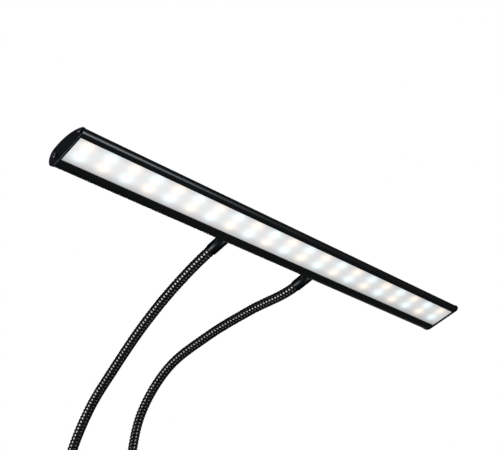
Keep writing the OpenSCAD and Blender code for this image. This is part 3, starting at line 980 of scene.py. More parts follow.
    def dressed(self, finish: Finish, slot: str, *nodes: str) -> "Piece":
        """Gives the piece its finish and hides the nodes that it stands for.

        Args:
            finish: the finish.
            slot: the record's name for the finish; not used.
            nodes: the nodes that the piece stands for.

        Returns:
            The piece.
        """
        self.obj.data.materials.clear()
        self.obj.data.materials.append(finish.material())
        if nodes:
            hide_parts(*nodes)
        LOG.info("%s: %s, %d faces", self.obj.name, finish.name, len(self.obj.data.polygons))
        return self

    def rides(self, body: str) -> "Piece":
        """Makes the piece move with a body."""
        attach(self.obj, body)
        return self


def dress_node(node: str, finish: Finish) -> None:
    """Gives a node that keeps its own shape its finish.

    Args:
        node: the node's name.
        finish: the finish.
    """
    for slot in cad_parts[node].material_slots:
        slot.material = finish.material()
    LOG.info("%s: %s, as built", node, finish.name)


def cross_screw(name: str, profile: Sequence[Point2], reach: float, depth: float) -> Piece:
    """Makes a screw that stands along Z, with a cross recess in the top of its head.

    Args:
        name: the piece's name.
        profile: radius and height of each ring, from the tip up.
        reach: how far each arm of the cross reaches from the middle.
        depth: how deep the cross is.

    Returns:
        The screw.
    """
    arm = reach * CROSS_ARM
    top = profile[-1][1]
    screw = Piece.turned(name, profile, Sides.SMALL)
    for across, along in ((reach, arm), (arm, reach)):
        screw.cut(Piece.block("cross_tool", (-across, -along, top - depth), (across, along, top + depth)))
    return screw.smooth()


@dataclass(frozen=True)
class FlatScrew:
    """A countersunk screw and the seat of its head.

    Attributes:
        shank_r: the radius of its shank.
        length: its whole length.
        head_r: the radius of its head.
        head_h: the height of its head.
        rim: the broken edge round its head.
        below: how far its head lies below the surface.
        sink: how far past the surface its seat is cut.
        cross_share: the reach of its cross as a share of its head's radius.
        cross_depth: the depth of its cross.
    """

    shank_r: float
    length: float
    head_r: float
    head_h: float
    rim: float
    below: float
    sink: float
    cross_share: float
    cross_depth: float

    def build(self, name: str) -> Piece:
        """Makes the screw with its head up and the surface at a level of 0.

        Args:
            name: the piece's name.

        Returns:
            The screw.
        """
        profile = [
            (self.shank_r, -self.length), (self.shank_r, -self.head_h), (self.head_r, -self.rim),
            (self.head_r - self.rim, -self.below),
        ]
        return cross_screw(name, profile, self.cross_share * self.head_r, self.cross_depth)

    def seat(self, level: float) -> Piece:
        """Makes the cone that cuts a seat for a head that faces down at a level."""
        cone = [(self.head_r + self.sink, level - self.sink), (self.shank_r, level + self.head_h)]
        return Piece.turned("seat_tool", cone)


@dataclass(frozen=True)
class Sleeve:
    """The sleeve that holds an end of a gooseneck: its radius, its bore and the rim of its mouth."""

    radius: float = 5.1
    bore: float = 4.65
    rim: Steps = ((0.0, 0.6), (0.06, 0.3), (0.2, 0.08), (0.35, 0.0))
    lip: float = 0.1
    depth: float = 4.0

    def mouth(self, level: float) -> list[Point2]:
        """Lays the rings over the rim of the mouth and down the bore."""
        bore = [(self.bore, level - self.lip), (self.bore, level - self.depth)]
        return rings(self.radius, level, self.rim) + bore


# The object


@dataclass
class LampBar:
    """The extruded lamp bar with its opal panel, end caps, screws and top sleeves."""

    tilt: float = 15.0
    thick: float = 15.3
    dome_r: float = 52.0
    nose_r: float = 2.8
    top_flat: float = 3.0
    nose_parts: int = 20
    dome_parts: int = 16
    bead_parts: int = 28
    bar_edge: float = 0.25
    front_lip: float = 6.36
    window: float = 24.2
    channel: float = 7.0
    recess: float = 0.8
    panel: float = 2.0
    panel_edge: float = 0.2
    grip: float = 1.7
    slot_clear: float = 0.2
    cap: float = 1.5
    cap_proud: float = 0.4
    cap_chamfer: Point2 = (0.16, 0.13)
    cap_edge: float = 0.06
    cap_edge_angle: float = 20.0
    head_r: float = 2.0
    head_h: float = 1.2
    pan_shares: Steps = ((1.0, 0.0), (1.0, 0.45), (0.94, 0.68), (0.8, 0.86), (0.55, 0.97), (0.2, 1.0))
    cross_shares: Point2 = (0.62, 0.55)
    cross_turn: float = 20.0
    shank_r: float = 1.0
    shank: float = 10.5
    nose_port: Point2 = (1.4, 1.9)
    sleeve: Sleeve = Sleeve()
    sleeve_out: float = 16.0
    sleeve_foot: Steps = ((0.2, 0.0), (0.0, -0.2))
    seat_depth: float = 2.0
    seat_gap: float = 0.1
    spacing: float = 99.0
    half: float = field(init=False)
    place: Matrix = field(init=False)
    nose: Vector = field(init=False)
    dome: Vector = field(init=False)
    bead: Vector = field(init=False)
    bead_r: float = field(init=False)
    lean: float = field(init=False)
    back: float = field(init=False)
    ports: tuple[Point2, Point2] = field(init=False)

    def __post_init__(self) -> None:
        """Reads the bar's length and place from the diffuser in model.glb and works out its outline."""
        low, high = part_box("diffuser")
        self.half = high.x / MM
        turn = Matrix.Rotation(math.radians(-self.tilt), 4, "X")
        up_to_panel = Vector((0, 0, (self.recess + self.panel / 2) * MM))
        self.place = Matrix.Translation((low + high) / 2 - turn @ up_to_panel) @ turn
        self.nose = Vector((self.nose_r - self.window / 2 - self.front_lip, self.nose_r))
        self.bead_r = self.thick / 2
        fall = self.dome_r - self.thick
        reach = math.sqrt((self.dome_r - self.nose_r) ** 2 - (self.nose_r + fall) ** 2)
        self.dome = Vector((self.nose.x + reach, -fall))
        self.bead = Vector((self.dome.x + self.top_flat, self.bead_r))
        self.lean = math.degrees(math.atan2(reach, self.nose_r + fall))
        self.back = self.bead.x + self.bead_r
        self.ports = (tuple(self.bead), (self.nose.x + self.nose_port[0], self.nose.y + self.nose_port[1]))

    def outer(self, proud: float) -> tuple[Point2, list[Stroke]]:
        """Draws the outline from under the nose over the dome to under the bead.

        Args:
            proud: how far it stands out beyond the bar's own outline.

        Returns:
            Its first point and its strokes.
        """
        return (self.nose.x, -proud), [
            Arc(tuple(self.nose), self.lean - 180, self.nose_parts),
            Arc(tuple(self.dome), -self.lean, self.dome_parts),
            Line((self.bead.x, self.thick + proud)),
            Arc(tuple(self.bead), -180, self.bead_parts),
        ]

    def build(self) -> None:
        """Builds the bar's pieces."""
        self.build_shell()
        self.build_panel()
        self.build_caps()
        self.build_cap_screws()
        for side in Side:
            self.build_sleeve(side)
        dress_node("led_board", Finishes.white_board)
        dress_node("leds_warm", Finishes.warm_chip)
        dress_node("leds_cool", Finishes.cool_chip)

    def build_shell(self) -> None:
        """Draws the extrusion with its light channel, and cuts the seats of the sleeves."""
        start, strokes = self.outer(0)
        edge = self.window / 2
        slot = edge + self.grip + self.slot_clear / 2
        slot_top = self.recess + self.panel + self.slot_clear
        wall = [(edge, 0.0), (edge, self.recess), (slot, self.recess), (slot, slot_top), (edge, slot_top)]
        channel = [*wall, (edge, self.channel)]
        channel += [(-y, z) for y, z in reversed(channel)]
        strokes += [Line(point) for point in channel]
        shell = Piece.drawn("bar_shell", start, strokes, (-self.half, self.half)).soften(self.bar_edge)
        seat = (self.back - self.seat_depth, self.back + PAST)
        for side in Side:
            tool = Piece.rod("seat_tool", self.sleeve.radius + self.seat_gap, seat)
            shell.cut(tool.placed(self.sleeve_place(side)))
        shell.placed(self.place).dressed(Finishes.anodised, "black_anodised", "bar_extrusion").rides("head")

    def sleeve_place(self, side: Side) -> Matrix:
        """Gives the place of a top sleeve's axis on the bar."""
        return about_y((side.value * self.spacing / 2, 0, self.bead_r))

    def build_panel(self) -> None:
        """Builds the opal panel, held by its edges in the bar's slots."""
        across = self.window / 2 + self.grip
        panel = Piece.block(
            "light_panel", (-self.half, -across, self.recess), (self.half, across, self.recess + self.panel)
        )
        panel.soften(self.panel_edge).placed(self.place)
        # cast opal acrylic over lit chips: even and milky; its own colour is written dark, because
        # a lit panel gives far more light than it throws back
        opal = OpalFinish(
            "opal acrylic", "#464646", "#434343", 0.3, 0.04, specular=0.4, grain_mm=1.2, relief_mm=0.002,
            place=tuple(self.place.translation / MM), tilt=self.tilt, half=self.half, glow_strength=1.0,
        )
        panel.dressed(opal, "opal", "diffuser").rides("head")

    def build_caps(self) -> None:
        """Builds the two end caps, plates a little larger than the bar with a chamfer round their faces."""
        start, strokes = self.outer(self.cap_proud)
        wide, deep = self.cap_chamfer
        for side in Side:
            rim = side.value * (self.half + self.cap - deep)
            ends = tuple(sorted((side.value * self.half, rim)))
            cap = Piece.drawn(f"cap_plate_{side.word}", start, strokes, ends)
            with cap.editing():
                cap.pick(Element.FACE, lambda at: abs(at.x - rim) < NEAR)
                bpy.ops.mesh.inset(thickness=wide * MM, depth=deep * MM)
            cap.soften(self.cap_edge, angle=self.cap_edge_angle).placed(self.place)
            cap.dressed(Finishes.cap_plate, "cap_black", f"end_cap_{side.word}").rides("head")

    def build_cap_screws(self) -> None:
        """Builds the four pan head screws of the end caps."""
        pan = [(wide * self.head_r, high * self.head_h) for wide, high in self.pan_shares]
        wide, deep = self.cross_shares
        profile = [(self.shank_r, -self.shank), (self.shank_r, 0), *pan]
        first = cross_screw("cap_screw", profile, wide * self.head_r, deep * self.head_h)
        turn = Matrix.Rotation(math.radians(self.cross_turn), 4, "Z")
        places = []
        for side in Side:
            out = Matrix.Rotation(math.radians(90 * side.value), 4, "Y")
            for port in self.ports:
                place = Vector((side.value * (self.half + self.cap), *port)) * MM
                places.append(self.place @ Matrix.Translation(place) @ out @ turn)
        screws = first.repeated("cap_screws", places)
        screws.dressed(Finishes.dark_screw, "dark_screw", "end_cap_screws").rides("head")

    def build_sleeve(self, side: Side) -> None:
        """Turns one top sleeve, with broken edges and an open mouth for its gooseneck.

        Args:
            side: the gooseneck that it holds.
        """
        foot = rings(self.sleeve.radius, self.back - self.seat_depth, self.sleeve_foot)
        profile = foot + self.sleeve.mouth(self.back + self.sleeve_out)
        sleeve = Piece.turned(f"top_sleeve_{side.word}", profile).smooth(angle=50)
        sleeve.placed(self.place @ self.sleeve_place(side))
        sleeve.dressed(Finishes.sleeve_top, "black_sleeve", f"ferrule_top_{side.word}").rides("head")


@dataclass
class Goosenecks:
    """The two goosenecks: wound wire tubes that bend above the base and below the lamp bar."""

    crown: float = 4.6
    root: float = 3.9
    pitch: float = 3.4
    sides: int = 24
    rib_parts: int = 12
    rib_power: int = 6
    weld: float = 0.02
    stub: float = 3.0
    split: float = 0.6
    bore_r: float = 2.0
    bore_sides: int = 12
    wire_r: float = 1.4
    base_spacing: float = 72.0
    top_spacing: float = 99.0
    base_mouth: float = 46.0
    top_mouth: Point2 = (-218.0, 227.0)
    tilt: float = 15.0
    line_parts: int = 48
    left_bends: tuple[Point3, ...] = (
        (0, -8, 50), (-2, -37, 91), (-5, -78, 120), (-9, -123, 145), (-12, -169, 165),
    )
    right_bends: tuple[Point3, ...] = (
        (-1, -3, 54), (-5, -21, 105), (-4, -60, 143), (3, -110, 163), (9, -163, 174),
    )
    lower_bend: tuple[Point3, Point3] = ((0, 0, 51), (0, -70, 171))
    upper_bend: tuple[Point3, Point3] = ((0, -130, 195), (0, -212, 226))

    def build(self) -> None:
        """Builds both goosenecks and the wires inside them."""
        wires = {
            Side.LEFT: (Finishes.red_wire, "warm_lead"),
            Side.RIGHT: (Finishes.white_wire, "cool_lead"),
        }
        for side in Side:
            line = self.route(side)
            length = line.data.splines[0].calc_length() / MM
            tube = self.wound_tube(length)
            tube.cut(self.plain_tube(length + self.pitch, self.bore_r))
            dress = (Finishes.wound, "black_ribbed", f"gooseneck_{side.word}")
            self.build_pair(f"neck_{side.word}", tube, line, length, dress)
            wire = self.plain_tube(length, self.wire_r)
            self.build_pair(f"wire_{side.word}", wire, line, length, (*wires[side], f"lead_{side.word}"))
            bpy.data.objects.remove(line)

    def route(self, side: Side) -> bpy.types.Object:
        """Draws the line that a gooseneck follows, straight inside its two sleeves.

        Args:
            side: which gooseneck.

        Returns:
            The curve.
        """
        foot = Vector((side.value * self.base_spacing / 2, 0, self.base_mouth))
        top = Vector((side.value * self.top_spacing / 2, *self.top_mouth))
        bends = self.left_bends if side is Side.LEFT else self.right_bends
        points = [foot, *(foot + Vector(b) for b in bends), top]
        up = Vector((0, 0, 1))
        lean = math.radians(self.tilt)
        inwards = Vector((0, -math.cos(lean), math.sin(lean)))
        slopes = [up * (points[1] - foot).length]
        slopes += [(after - before) / 2 for before, after in zip(points, points[2:])]
        slopes.append(inwards * (top - points[-2]).length)
        rise, run = up * self.stub, inwards * self.stub
        points = [foot - rise, *points, top + run]
        before = [rise, rise, *slopes[1:], run]
        after = [rise, *slopes[:-1], run, run]
        deselect_all()
        bpy.ops.curve.primitive_bezier_curve_add()
        line = bpy.context.object
        line.data.dimensions = "3D"
        line.data.resolution_u = self.line_parts
        line.data.twist_mode = "MINIMUM"
        spline = line.data.splines[0]
        spline.bezier_points.add(len(points) - 2)
        for knot, place, came, goes in zip(spline.bezier_points, points, before, after):
            knot.handle_left_type = knot.handle_right_type = "FREE"
            knot.co = place * MM
            knot.handle_left = (place - came / 3) * MM
            knot.handle_right = (place + goes / 3) * MM
        return line

    def wound_tube(self, length: float) -> Piece:
        """Winds one flat crowned rib up a straight tube, a little past both of its ends.

        Args:
            length: the tube's length.

        Returns:
            The tube, open at its ends, with each point's height in its rib as an attribute.
        """
        turns = round(length / self.pitch)
        pitch = length / turns
        depth = self.crown - self.root
        strides = [math.cos(math.pi * k / self.rib_parts) for k in range(self.rib_parts + 1)]
        rib = [
            Vector((self.root + depth * (1 - s ** self.rib_power), 0, -pitch * (1 + s) / 2)) * MM
            for s in strides
        ]
        tube = Piece.wound("wound_tube", rib, pitch, turns + 2, self.sides, self.weld).turn_outwards()
        heights = tube.obj.data.attributes.new("crown", "FLOAT", "POINT")
        for point, vertex in zip(heights.data, tube.obj.data.vertices):
            point.value = (vertex.co.xy.length / MM - self.root) / depth
        return tube

    def plain_tube(self, length: float, radius: float) -> Piece:
        """Makes a straight rod, a little past both ends, with rings close enough to bend.

        Args:
            length: the gooseneck's length.
            radius: the rod's radius.

        Returns:
            The rod.
        """
        count = round(length / self.pitch)
        levels = [length * k / count for k in range(-1, count + 2)]
        return Piece.rod("plain_tube", radius, levels, self.bore_sides)

    def build_pair(
        self, name: str, tube: Piece, line: bpy.types.Object, length: float, dress: tuple[Finish, str, str]
    ) -> None:
        """Cuts a straight tube in two and bends both along the line.

        Args:
            name: the name that the two pieces share.
            tube: the straight tube.
            line: the line that it follows.
            length: the line's length.
            dress: the finish, its slot and the node that the pieces stand for.
        """
        middle = self.split * length
        parts = (
            ("lower", (0.0, middle), ("base", "arms"), self.lower_bend),
            ("upper", (middle, length), ("arms", "head"), self.upper_bend),
        )
        for word, ends, bodies, bend in parts:
            half = tube.copied(f"{name}_{word}").trimmed(*ends)
            half.finish_with("CURVE", object=line, deform_axis="POS_Z").smooth(angle=50)
            half.dressed(*dress)
            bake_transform(half.obj)
        bpy.data.objects.remove(tube.obj)


@dataclass
class Base:
    """The moulded control housing with its floor, buttons, status light, inlet and base sleeves."""

    half_len: float = 58.0
    half_dep: float = 19.0
    foot: float = 5.0
    roof: float = 29.0
    corner: float = 8.0
    corner_parts: int = 10
    wall: float = 2.2
    top_round: float = 2.0
    top_parts: int = 5
    edge: float = 0.25
    edge_angle: float = 40.0
    floor: float = 2.5
    floor_gap: float = 0.15
    roof_cut: Point2 = (-6.0, 3.0)
    button_r: float = 5.0
    button_gap: float = 0.3
    button_at: float = 11.0
    button_proud: float = 2.0
    button_foot: float = 21.8
    button_rim: Point2 = (1.2, 1.5)
    button_top: Steps = (
        (0.0, 0.7), (0.08, 0.4), (0.25, 0.15), (0.55, 0.0), (0.9, 0.04), (1.8, 0.22), (3.2, 0.38),
    )
    button_middle: Point2 = (0.3, 0.45)
    sign_drop: float = 0.4
    stroke: float = 0.36
    ink: float = 0.12
    ink_weld: float = 0.001
    power_r: float = 1.2
    power_turn: float = 292.0
    power_parts: int = 40
    power_bar: Point2 = (0.45, 1.85)
    colour_r: float = 1.3
    colour_parts: int = 48
    colour_half: Point2 = (0.05, 1.2)
    status_r: float = 1.2
    status_gap: float = 0.1
    status_foot: float = 13.7
    status_proud: float = 0.2
    status_dome: Steps = ((1.0, 0.35), (0.9, 0.18), (0.65, 0.05), (0.25, 0.0))
    inlet: Point2 = (9.0, 3.3)
    inlet_z: float = 15.25
    inlet_cut: Point2 = (-5.0, 3.0)
    inlet_parts: int = 8
    boss: Point2 = (49.0, 11.0)
    screw: FlatScrew = FlatScrew(
        shank_r=1.4, length=11.5, head_r=2.8, head_h=1.8, rim=0.1, below=0.0, sink=0.2,
        cross_share=0.65, cross_depth=0.9,
    )
    sleeve: Sleeve = Sleeve()
    sleeve_at: float = 36.0
    sleeve_mouth: float = 46.0
    flange: Point2 = (7.0, 3.0)
    flange_foot: Steps = ((0.15, 0.0), (0.0, -0.2))
    flange_top: Steps = ((0.0, 0.7), (0.2, 0.25), (0.6, 0.0))
    flange_fillet: Steps = ((-0.9, 0.0), (-0.35, -0.12), (-0.08, -0.4), (0.0, -0.9))

    def build(self) -> None:
        """Builds the base's pieces."""
        self.build_housing()
        self.build_floor()
        self.build_floor_screws()
        self.build_buttons()
        self.build_status_light()
        for side in Side:
            self.build_sleeve(side)
        dress_node("usb_inlet", Finishes.inlet_steel)
        dress_node("control_board", Finishes.green_board)
        dress_node("tact_switches", Finishes.switch)
        dress_node("ferrule_nuts", Finishes.steel)

    def rounded_block(self, name: str, inset: float, low: float, high: float) -> Piece:
        """Makes a block with the housing's round corners.

        Args:
            name: the piece's name.
            inset: how far its sides lie inside the housing's.
            low: its lowest level.
            high: its highest level.

        Returns:
            The block.
        """
        corner = Vector((self.half_len - inset, self.half_dep - inset, (low + high) / 2))
        block = Piece.block(name, (-corner.x, -corner.y, low), (corner.x, corner.y, high))
        return block.round_edges(
            lambda at: (Vector((abs(at.x), abs(at.y), at.z)) - corner).length < NEAR,
            self.corner - inset, self.corner_parts,
        )

    def build_housing(self) -> None:
        """Builds the shell: round corners, a soft top edge, and openings for all that comes through."""
        shell = self.rounded_block("housing", 0, self.foot, self.roof)
        shell.round_edges(lambda at: at.z > self.roof - NEAR, self.top_round, self.top_parts)
        with shell.editing():
            shell.pick(Element.FACE, lambda at: at.z < self.foot + NEAR)
            bpy.ops.mesh.delete(type="FACE")
        shell.finish_with("SOLIDIFY", thickness=self.wall * MM, offset=-1.0, use_even_offset=True)
        through = [self.roof + reach for reach in self.roof_cut]
        for side in Side:
            tool = Piece.rod("button_tool", self.button_r + self.button_gap, through)
            shell.cut(tool.placed(upright(side.value * self.button_at)))
        shell.cut(Piece.rod("status_tool", self.status_r + self.status_gap, through))
        wide, tall = (size / 2 + self.button_gap for size in self.inlet)
        near, far = (self.half_len + reach for reach in self.inlet_cut)
        slot = Piece.block(
            "inlet_tool", (near, -wide, self.inlet_z - tall), (far, wide, self.inlet_z + tall)
        )
        slot.round_edges(
            lambda at: abs(abs(at.y) - wide) < NEAR and abs(at.x - (near + far) / 2) < NEAR,
            tall, self.inlet_parts,
        )
        shell.cut(slot).soften(self.edge, angle=self.edge_angle)
        shell.dressed(Finishes.housing, "black_plastic", "housing_shell").rides("base")

    def build_floor(self) -> None:
        """Builds the floor plate, sunk between the walls."""
        inset = self.wall + self.floor_gap
        floor = self.rounded_block("floor_plate", inset, self.foot, self.foot + self.floor)
        for place in self.boss_places():
            floor.cut(self.screw.seat(self.foot).placed(place))
        floor.soften(self.edge, angle=self.edge_angle)
        floor.dressed(Finishes.housing, "black_plastic", "housing_floor").rides("base")

    def boss_places(self) -> list[Matrix]:
        """Gives the places of the four floor screws."""
        x, y = self.boss
        return [upright(sx * x, sy * y) for sx in (-1, 1) for sy in (-1, 1)]

    def build_floor_screws(self) -> None:
        """Builds the four countersunk screws, heads down."""
        down = Matrix.Translation((0, 0, self.foot * MM)) @ Matrix.Rotation(math.pi, 4, "X")
        places = [place @ down for place in self.boss_places()]
        screws = self.screw.build("floor_screw").repeated("floor_screw_set", places)
        screws.dressed(Finishes.dark_screw, "dark_screw", "floor_screws").rides("base")

    def build_buttons(self) -> None:
        """Builds the two dished buttons and prints a plain sign on each."""
        top, foot, r = self.roof + self.button_proud, self.button_foot, self.button_r
        wide, high = self.button_rim
        middle_r, middle_drop = self.button_middle
        profile = [
            (r + wide, foot), (r + wide, foot + high), (r, foot + high), *rings(r, top, self.button_top),
            (middle_r, top - middle_drop),
        ]
        for side, word in zip(Side, ("power", "colour")):
            place = upright(side.value * self.button_at)
            cap = Piece.turned(f"{word}_cap", profile, Sides.LARGE).smooth().placed(place)
            cap.dressed(Finishes.button, "button_plastic", f"{word}_button").rides(word)
            sign = self.power_sign() if word == "power" else self.colour_sign()
            sign.placed(place @ Matrix.Translation((0, 0, (top - self.sign_drop) * MM)))
            sign.dressed(Finishes.print_white, "button_plastic").rides(word)

    def ring_sign(self, name: str, radius: float, width: float, turn: float, parts: int) -> Piece:
        """Makes a flat ring, or a stretch of one, as thin as ink.

        Args:
            name: the piece's name.
            radius: its inner radius.
            width: the width of its stroke.
            turn: how far it goes round, in degrees, evenly to both sides of -Y.
            parts: the number of parts of the round.

        Returns:
            The sign.
        """
        first = math.radians(-90 - turn / 2)
        out = Vector((math.cos(first), math.sin(first), 0))
        sign = Piece.dot(name, out * radius * MM)
        with sign.editing():
            bpy.ops.mesh.select_all(action="SELECT")
            bpy.ops.mesh.extrude_region_move(TRANSFORM_OT_translate={"value": out * width * MM})
            bpy.ops.mesh.select_all(action="SELECT")
            bpy.ops.mesh.spin(steps=parts, angle=-math.radians(turn), center=(0, 0, 0), axis=(0, 0, 1))
            bpy.ops.mesh.select_all(action="SELECT")
            bpy.ops.mesh.remove_doubles(threshold=self.ink_weld * MM)
        return sign.turn_outwards().finish_with("SOLIDIFY", thickness=self.ink * MM, offset=0.0)

    def power_sign(self) -> Piece:
        """Makes the usual sign for power, an open ring with a bar.

        Returns:
            The sign.
        """
        low, high = self.power_bar
        x, z = self.stroke / 2, self.ink / 2
        bar = Piece.block("power_bar", (-x, low, -z), (x, high, z))
        ring = self.ring_sign("power_sign", self.power_r, self.stroke, self.power_turn, self.power_parts)
        return ring.joined([bar])

    def colour_sign(self) -> Piece:
        """Makes a plain sign for the light's colour, a ring that is half filled.

        Returns:
            The sign.
        """
        half = self.ring_sign("colour_half", *self.colour_half, 180, self.colour_parts // 2)
        ring = self.ring_sign("colour_sign", self.colour_r, self.stroke, 360, self.colour_parts)
        return ring.joined([half])

    def build_status_light(self) -> None:
        """Builds the light pipe with its domed end."""
        top = self.roof + self.status_proud
        dome = [(share * self.status_r, top - drop) for share, drop in self.status_dome]
        pipe = Piece.turned("status_pipe", [(self.status_r, self.status_foot), *dome], Sides.SMALL)
        pipe.smooth(angle=50).dressed(Finishes.lens, "clear_plastic", "status_light").rides("base")

    def build_sleeve(self, side: Side) -> None:
        """Turns one base sleeve with its flange on the roof.

        Args:
            side: the gooseneck that it holds.
        """
        wide, thick = self.flange
        profile = [
            *rings(wide, self.roof, self.flange_foot), *rings(wide, self.roof + thick, self.flange_top),
            *rings(self.sleeve.radius, self.roof + thick, self.flange_fillet),
            *self.sleeve.mouth(self.sleeve_mouth),
        ]
        sleeve = Piece.turned(f"base_sleeve_{side.word}", profile).smooth(angle=45)
        sleeve.placed(upright(side.value * self.sleeve_at))
        sleeve.dressed(Finishes.sleeve_base, "black_sleeve", f"ferrule_base_{side.word}").rides("base")


@dataclass
class Clamp:
    """The screw clamp: bracket, pads, threaded insert, screw, knob and cap."""

    half_w: float = 23.0
    bridge: float = 5.0
    drop: float = 46.0
    front_out: float = -22.0
    front_in: float = -17.0
    rear_in: float = 22.0
    rear_out: float = 30.0
    top_round: float = 4.0
    top_parts: int = 8
    jaw_round: float = 8.0
    jaw_parts: int = 10
    bracket_edge: float = 0.6
    edge_angle: float = 40.0
    axis: float = -28.0
    insert_r: float = 6.0
    insert_break: float = 0.3
    flange_r: float = 8.0
    flange_t: float = 2.0
    flange_break: float = 0.4
    bore_r: float = 4.1
    bore_break: float = 0.5
    bolt_at: float = 14.0
    bolt: FlatScrew = FlatScrew(
        shank_r=2.0, length=11.5, head_r=3.8, head_h=2.4, rim=0.15, below=0.02, sink=0.15,
        cross_share=0.62, cross_depth=1.2,
    )
    pad_half: float = 20.0
    pad_t: float = 2.5
    pad_z: Point2 = (-43.0, -13.0)
    pad_ribs: int = 10
    pad_edge: float = 0.12
    pad_edge_angle: float = 30.0
    rib_h: float = 0.7
    rib_shares: tuple[float, ...] = (0.14, 0.28, 0.72, 0.86)
    disc_r: float = 13.0
    disc_y: Point3 = (4.0, 6.0, 10.0)
    plate_foot: Steps = ((0.3, 0.0), (0.0, -0.3))
    plate_top: Steps = ((0.0, 0.8), (0.3, 0.3), (0.8, 0.0))
    dish: Steps = ((6.2, 0.0), (5.6, 0.35))
    socket: Point2 = (3.1, 2.8)
    rubber_back: Steps = ((0.1, 0.0), (0.0, 0.2))
    rubber_face: Steps = ((0.0, -0.5), (0.5, 0.0))
    grooves: tuple[float, ...] = (10.2, 7.0, 3.8)
    groove: Steps = ((-0.7, 0.0), (-0.35, -0.7), (0.35, -0.7), (0.7, 0.0))
    rod_r: float = 4.0
    rod_root: float = 3.4
    rod_pitch: float = 2.0
    rod_y: Point3 = (7.3, 10.3, 61.0)
    tooth_shares: Point3 = (0.2, 0.45, 0.75)
    thread_in: float = 2.0
    thread_weld: float = 0.01
    overlap: float = 0.5
    nose_r: float = 3.0
    nose_tip: Steps = ((0.4, 0.0), (0.0, -0.4))
    knob_y: Point2 = (50.0, 64.0)
    knob_mean: float = 14.2
    knob_wave: float = 2.3
    knob_sides: int = 120
    knob_low: Steps = ((0.9, 0.0), (0.95, 0.35), (0.985, 1.0), (1.0, 2.0))
    knob_high: Steps = ((1.0, 3.4), (0.985, 1.9), (0.95, 0.8), (0.9, 0.2), (0.84, 0.0), (0.7, 0.0))
    lobes: int = 5
    cap_r: float = 7.0
    cap_t: float = 1.2
    cap_gap: float = 0.15
    cap_round: Steps = ((0.0, 0.35), (0.12, 0.12), (0.4, 0.02))
    cap_ring: Steps = ((0.7, 0.0), (0.66, 0.18), (0.6, 0.18), (0.56, 0.02), (0.1, 0.0))

    @property
    def on_axis(self) -> Matrix:
        """The place of what is turned about the screw's axis."""
        return about_y((0, 0, self.axis))

    def build(self) -> None:
        """Builds the clamp's pieces."""
        self.build_bracket()
        self.build_bolts()
        self.build_front_pad()
        self.build_insert()
        self.build_moving_pad()
        self.build_screw()
        self.build_knob()
        self.build_knob_cap()

    def build_bracket(self) -> None:
        """Draws the bridge with its two jaws, rounds it and cuts its holes."""
        r, top = self.top_round, self.bridge
        strokes = [
            Line((self.front_out, top - r)), Arc((self.front_out + r, top - r), -90, self.top_parts),
            Line((self.rear_out - r, top)), Arc((self.rear_out - r, top - r), -90, self.top_parts),
            Line((self.rear_out, -self.drop)), Line((self.rear_in, -self.drop)), Line((self.rear_in, 0)),
            Line((self.front_in, 0)), Line((self.front_in, -self.drop)),
        ]
        bracket = Piece.drawn("bracket", (self.front_out, -self.drop), strokes, (-self.half_w, self.half_w))
        bracket.round_edges(
            lambda at: abs(abs(at.x) - self.half_w) < NEAR and at.z < NEAR - self.drop,
            self.jaw_round, self.jaw_parts,
        )
        hole = Piece.rod("insert_tool", self.insert_r, (self.rear_in - PAST, self.rear_out + PAST))
        bracket.cut(hole.placed(self.on_axis))
        for side in Side:
            bracket.cut(self.bolt.seat(0.0).placed(upright(side.value * self.bolt_at)))
        bracket.soften(self.bracket_edge, parts=3, angle=self.edge_angle)
        bracket.dressed(Finishes.powder, "black_cast", "clamp_bracket").rides("base")

    def build_bolts(self) -> None:
        """Builds the two countersunk screws under the bridge, heads down."""
        down = Matrix.Rotation(math.pi, 4, "X")
        places = [upright(side.value * self.bolt_at) @ down for side in Side]
        bolts = self.bolt.build("bracket_bolt").repeated("bracket_bolt_pair", places)
        bolts.dressed(Finishes.dark_screw, "dark_screw", "bracket_screws").rides("base")

    def build_front_pad(self) -> None:
        """Draws the rubber of the front jaw with ribs across its face."""
        low, high = self.pad_z
        pitch = (high - low) / self.pad_ribs
        face = self.front_in + self.pad_t
        valley = face - self.rib_h
        strokes = []
        for rib in range(self.pad_ribs):
            foot = low + rib * pitch
            for y, share in zip((valley, face, face, valley), self.rib_shares):
                strokes.append(Line((y, foot + share * pitch)))
        strokes += [Line((valley, high)), Line((self.front_in, high)), Line((self.front_in, low))]
        pad = Piece.drawn("front_pad", (valley, low), strokes, (-self.pad_half, self.pad_half))
        pad.soften(self.pad_edge, angle=self.pad_edge_angle)
        pad.dressed(Finishes.rubber, "black_rubber", "fixed_pad").rides("base")

    def build_insert(self) -> None:
        """Turns the brass insert that the screw runs in."""
        low, step, high = self.rear_in - self.flange_t, self.rear_in, self.rear_out
        r, wide, bore = self.insert_r, self.flange_r, self.bore_r
        mouth = bore + self.bore_break
        profile = [
            (mouth, low), (wide - self.flange_break, low), (wide, low + self.flange_break), (wide, step),
            (r, step), (r, high - self.insert_break), (r - self.insert_break, high), (mouth, high),
            (bore, high - self.bore_break), (bore, low + self.bore_break),
        ]
        insert = Piece.turned("brass_insert", profile)
        with insert.editing():
            insert.pick(Element.FACE, lambda at: at.xy.length < NEAR)
            bpy.ops.mesh.delete(type="FACE")
            bpy.ops.mesh.select_mode(type=Element.EDGE.value)
            bpy.ops.mesh.select_non_manifold(extend=False)
            bpy.ops.mesh.bridge_edge_loops()
        insert.turn_outwards().smooth().placed(self.on_axis)
        insert.dressed(Finishes.brass, "brass", "thread_insert").rides("base")

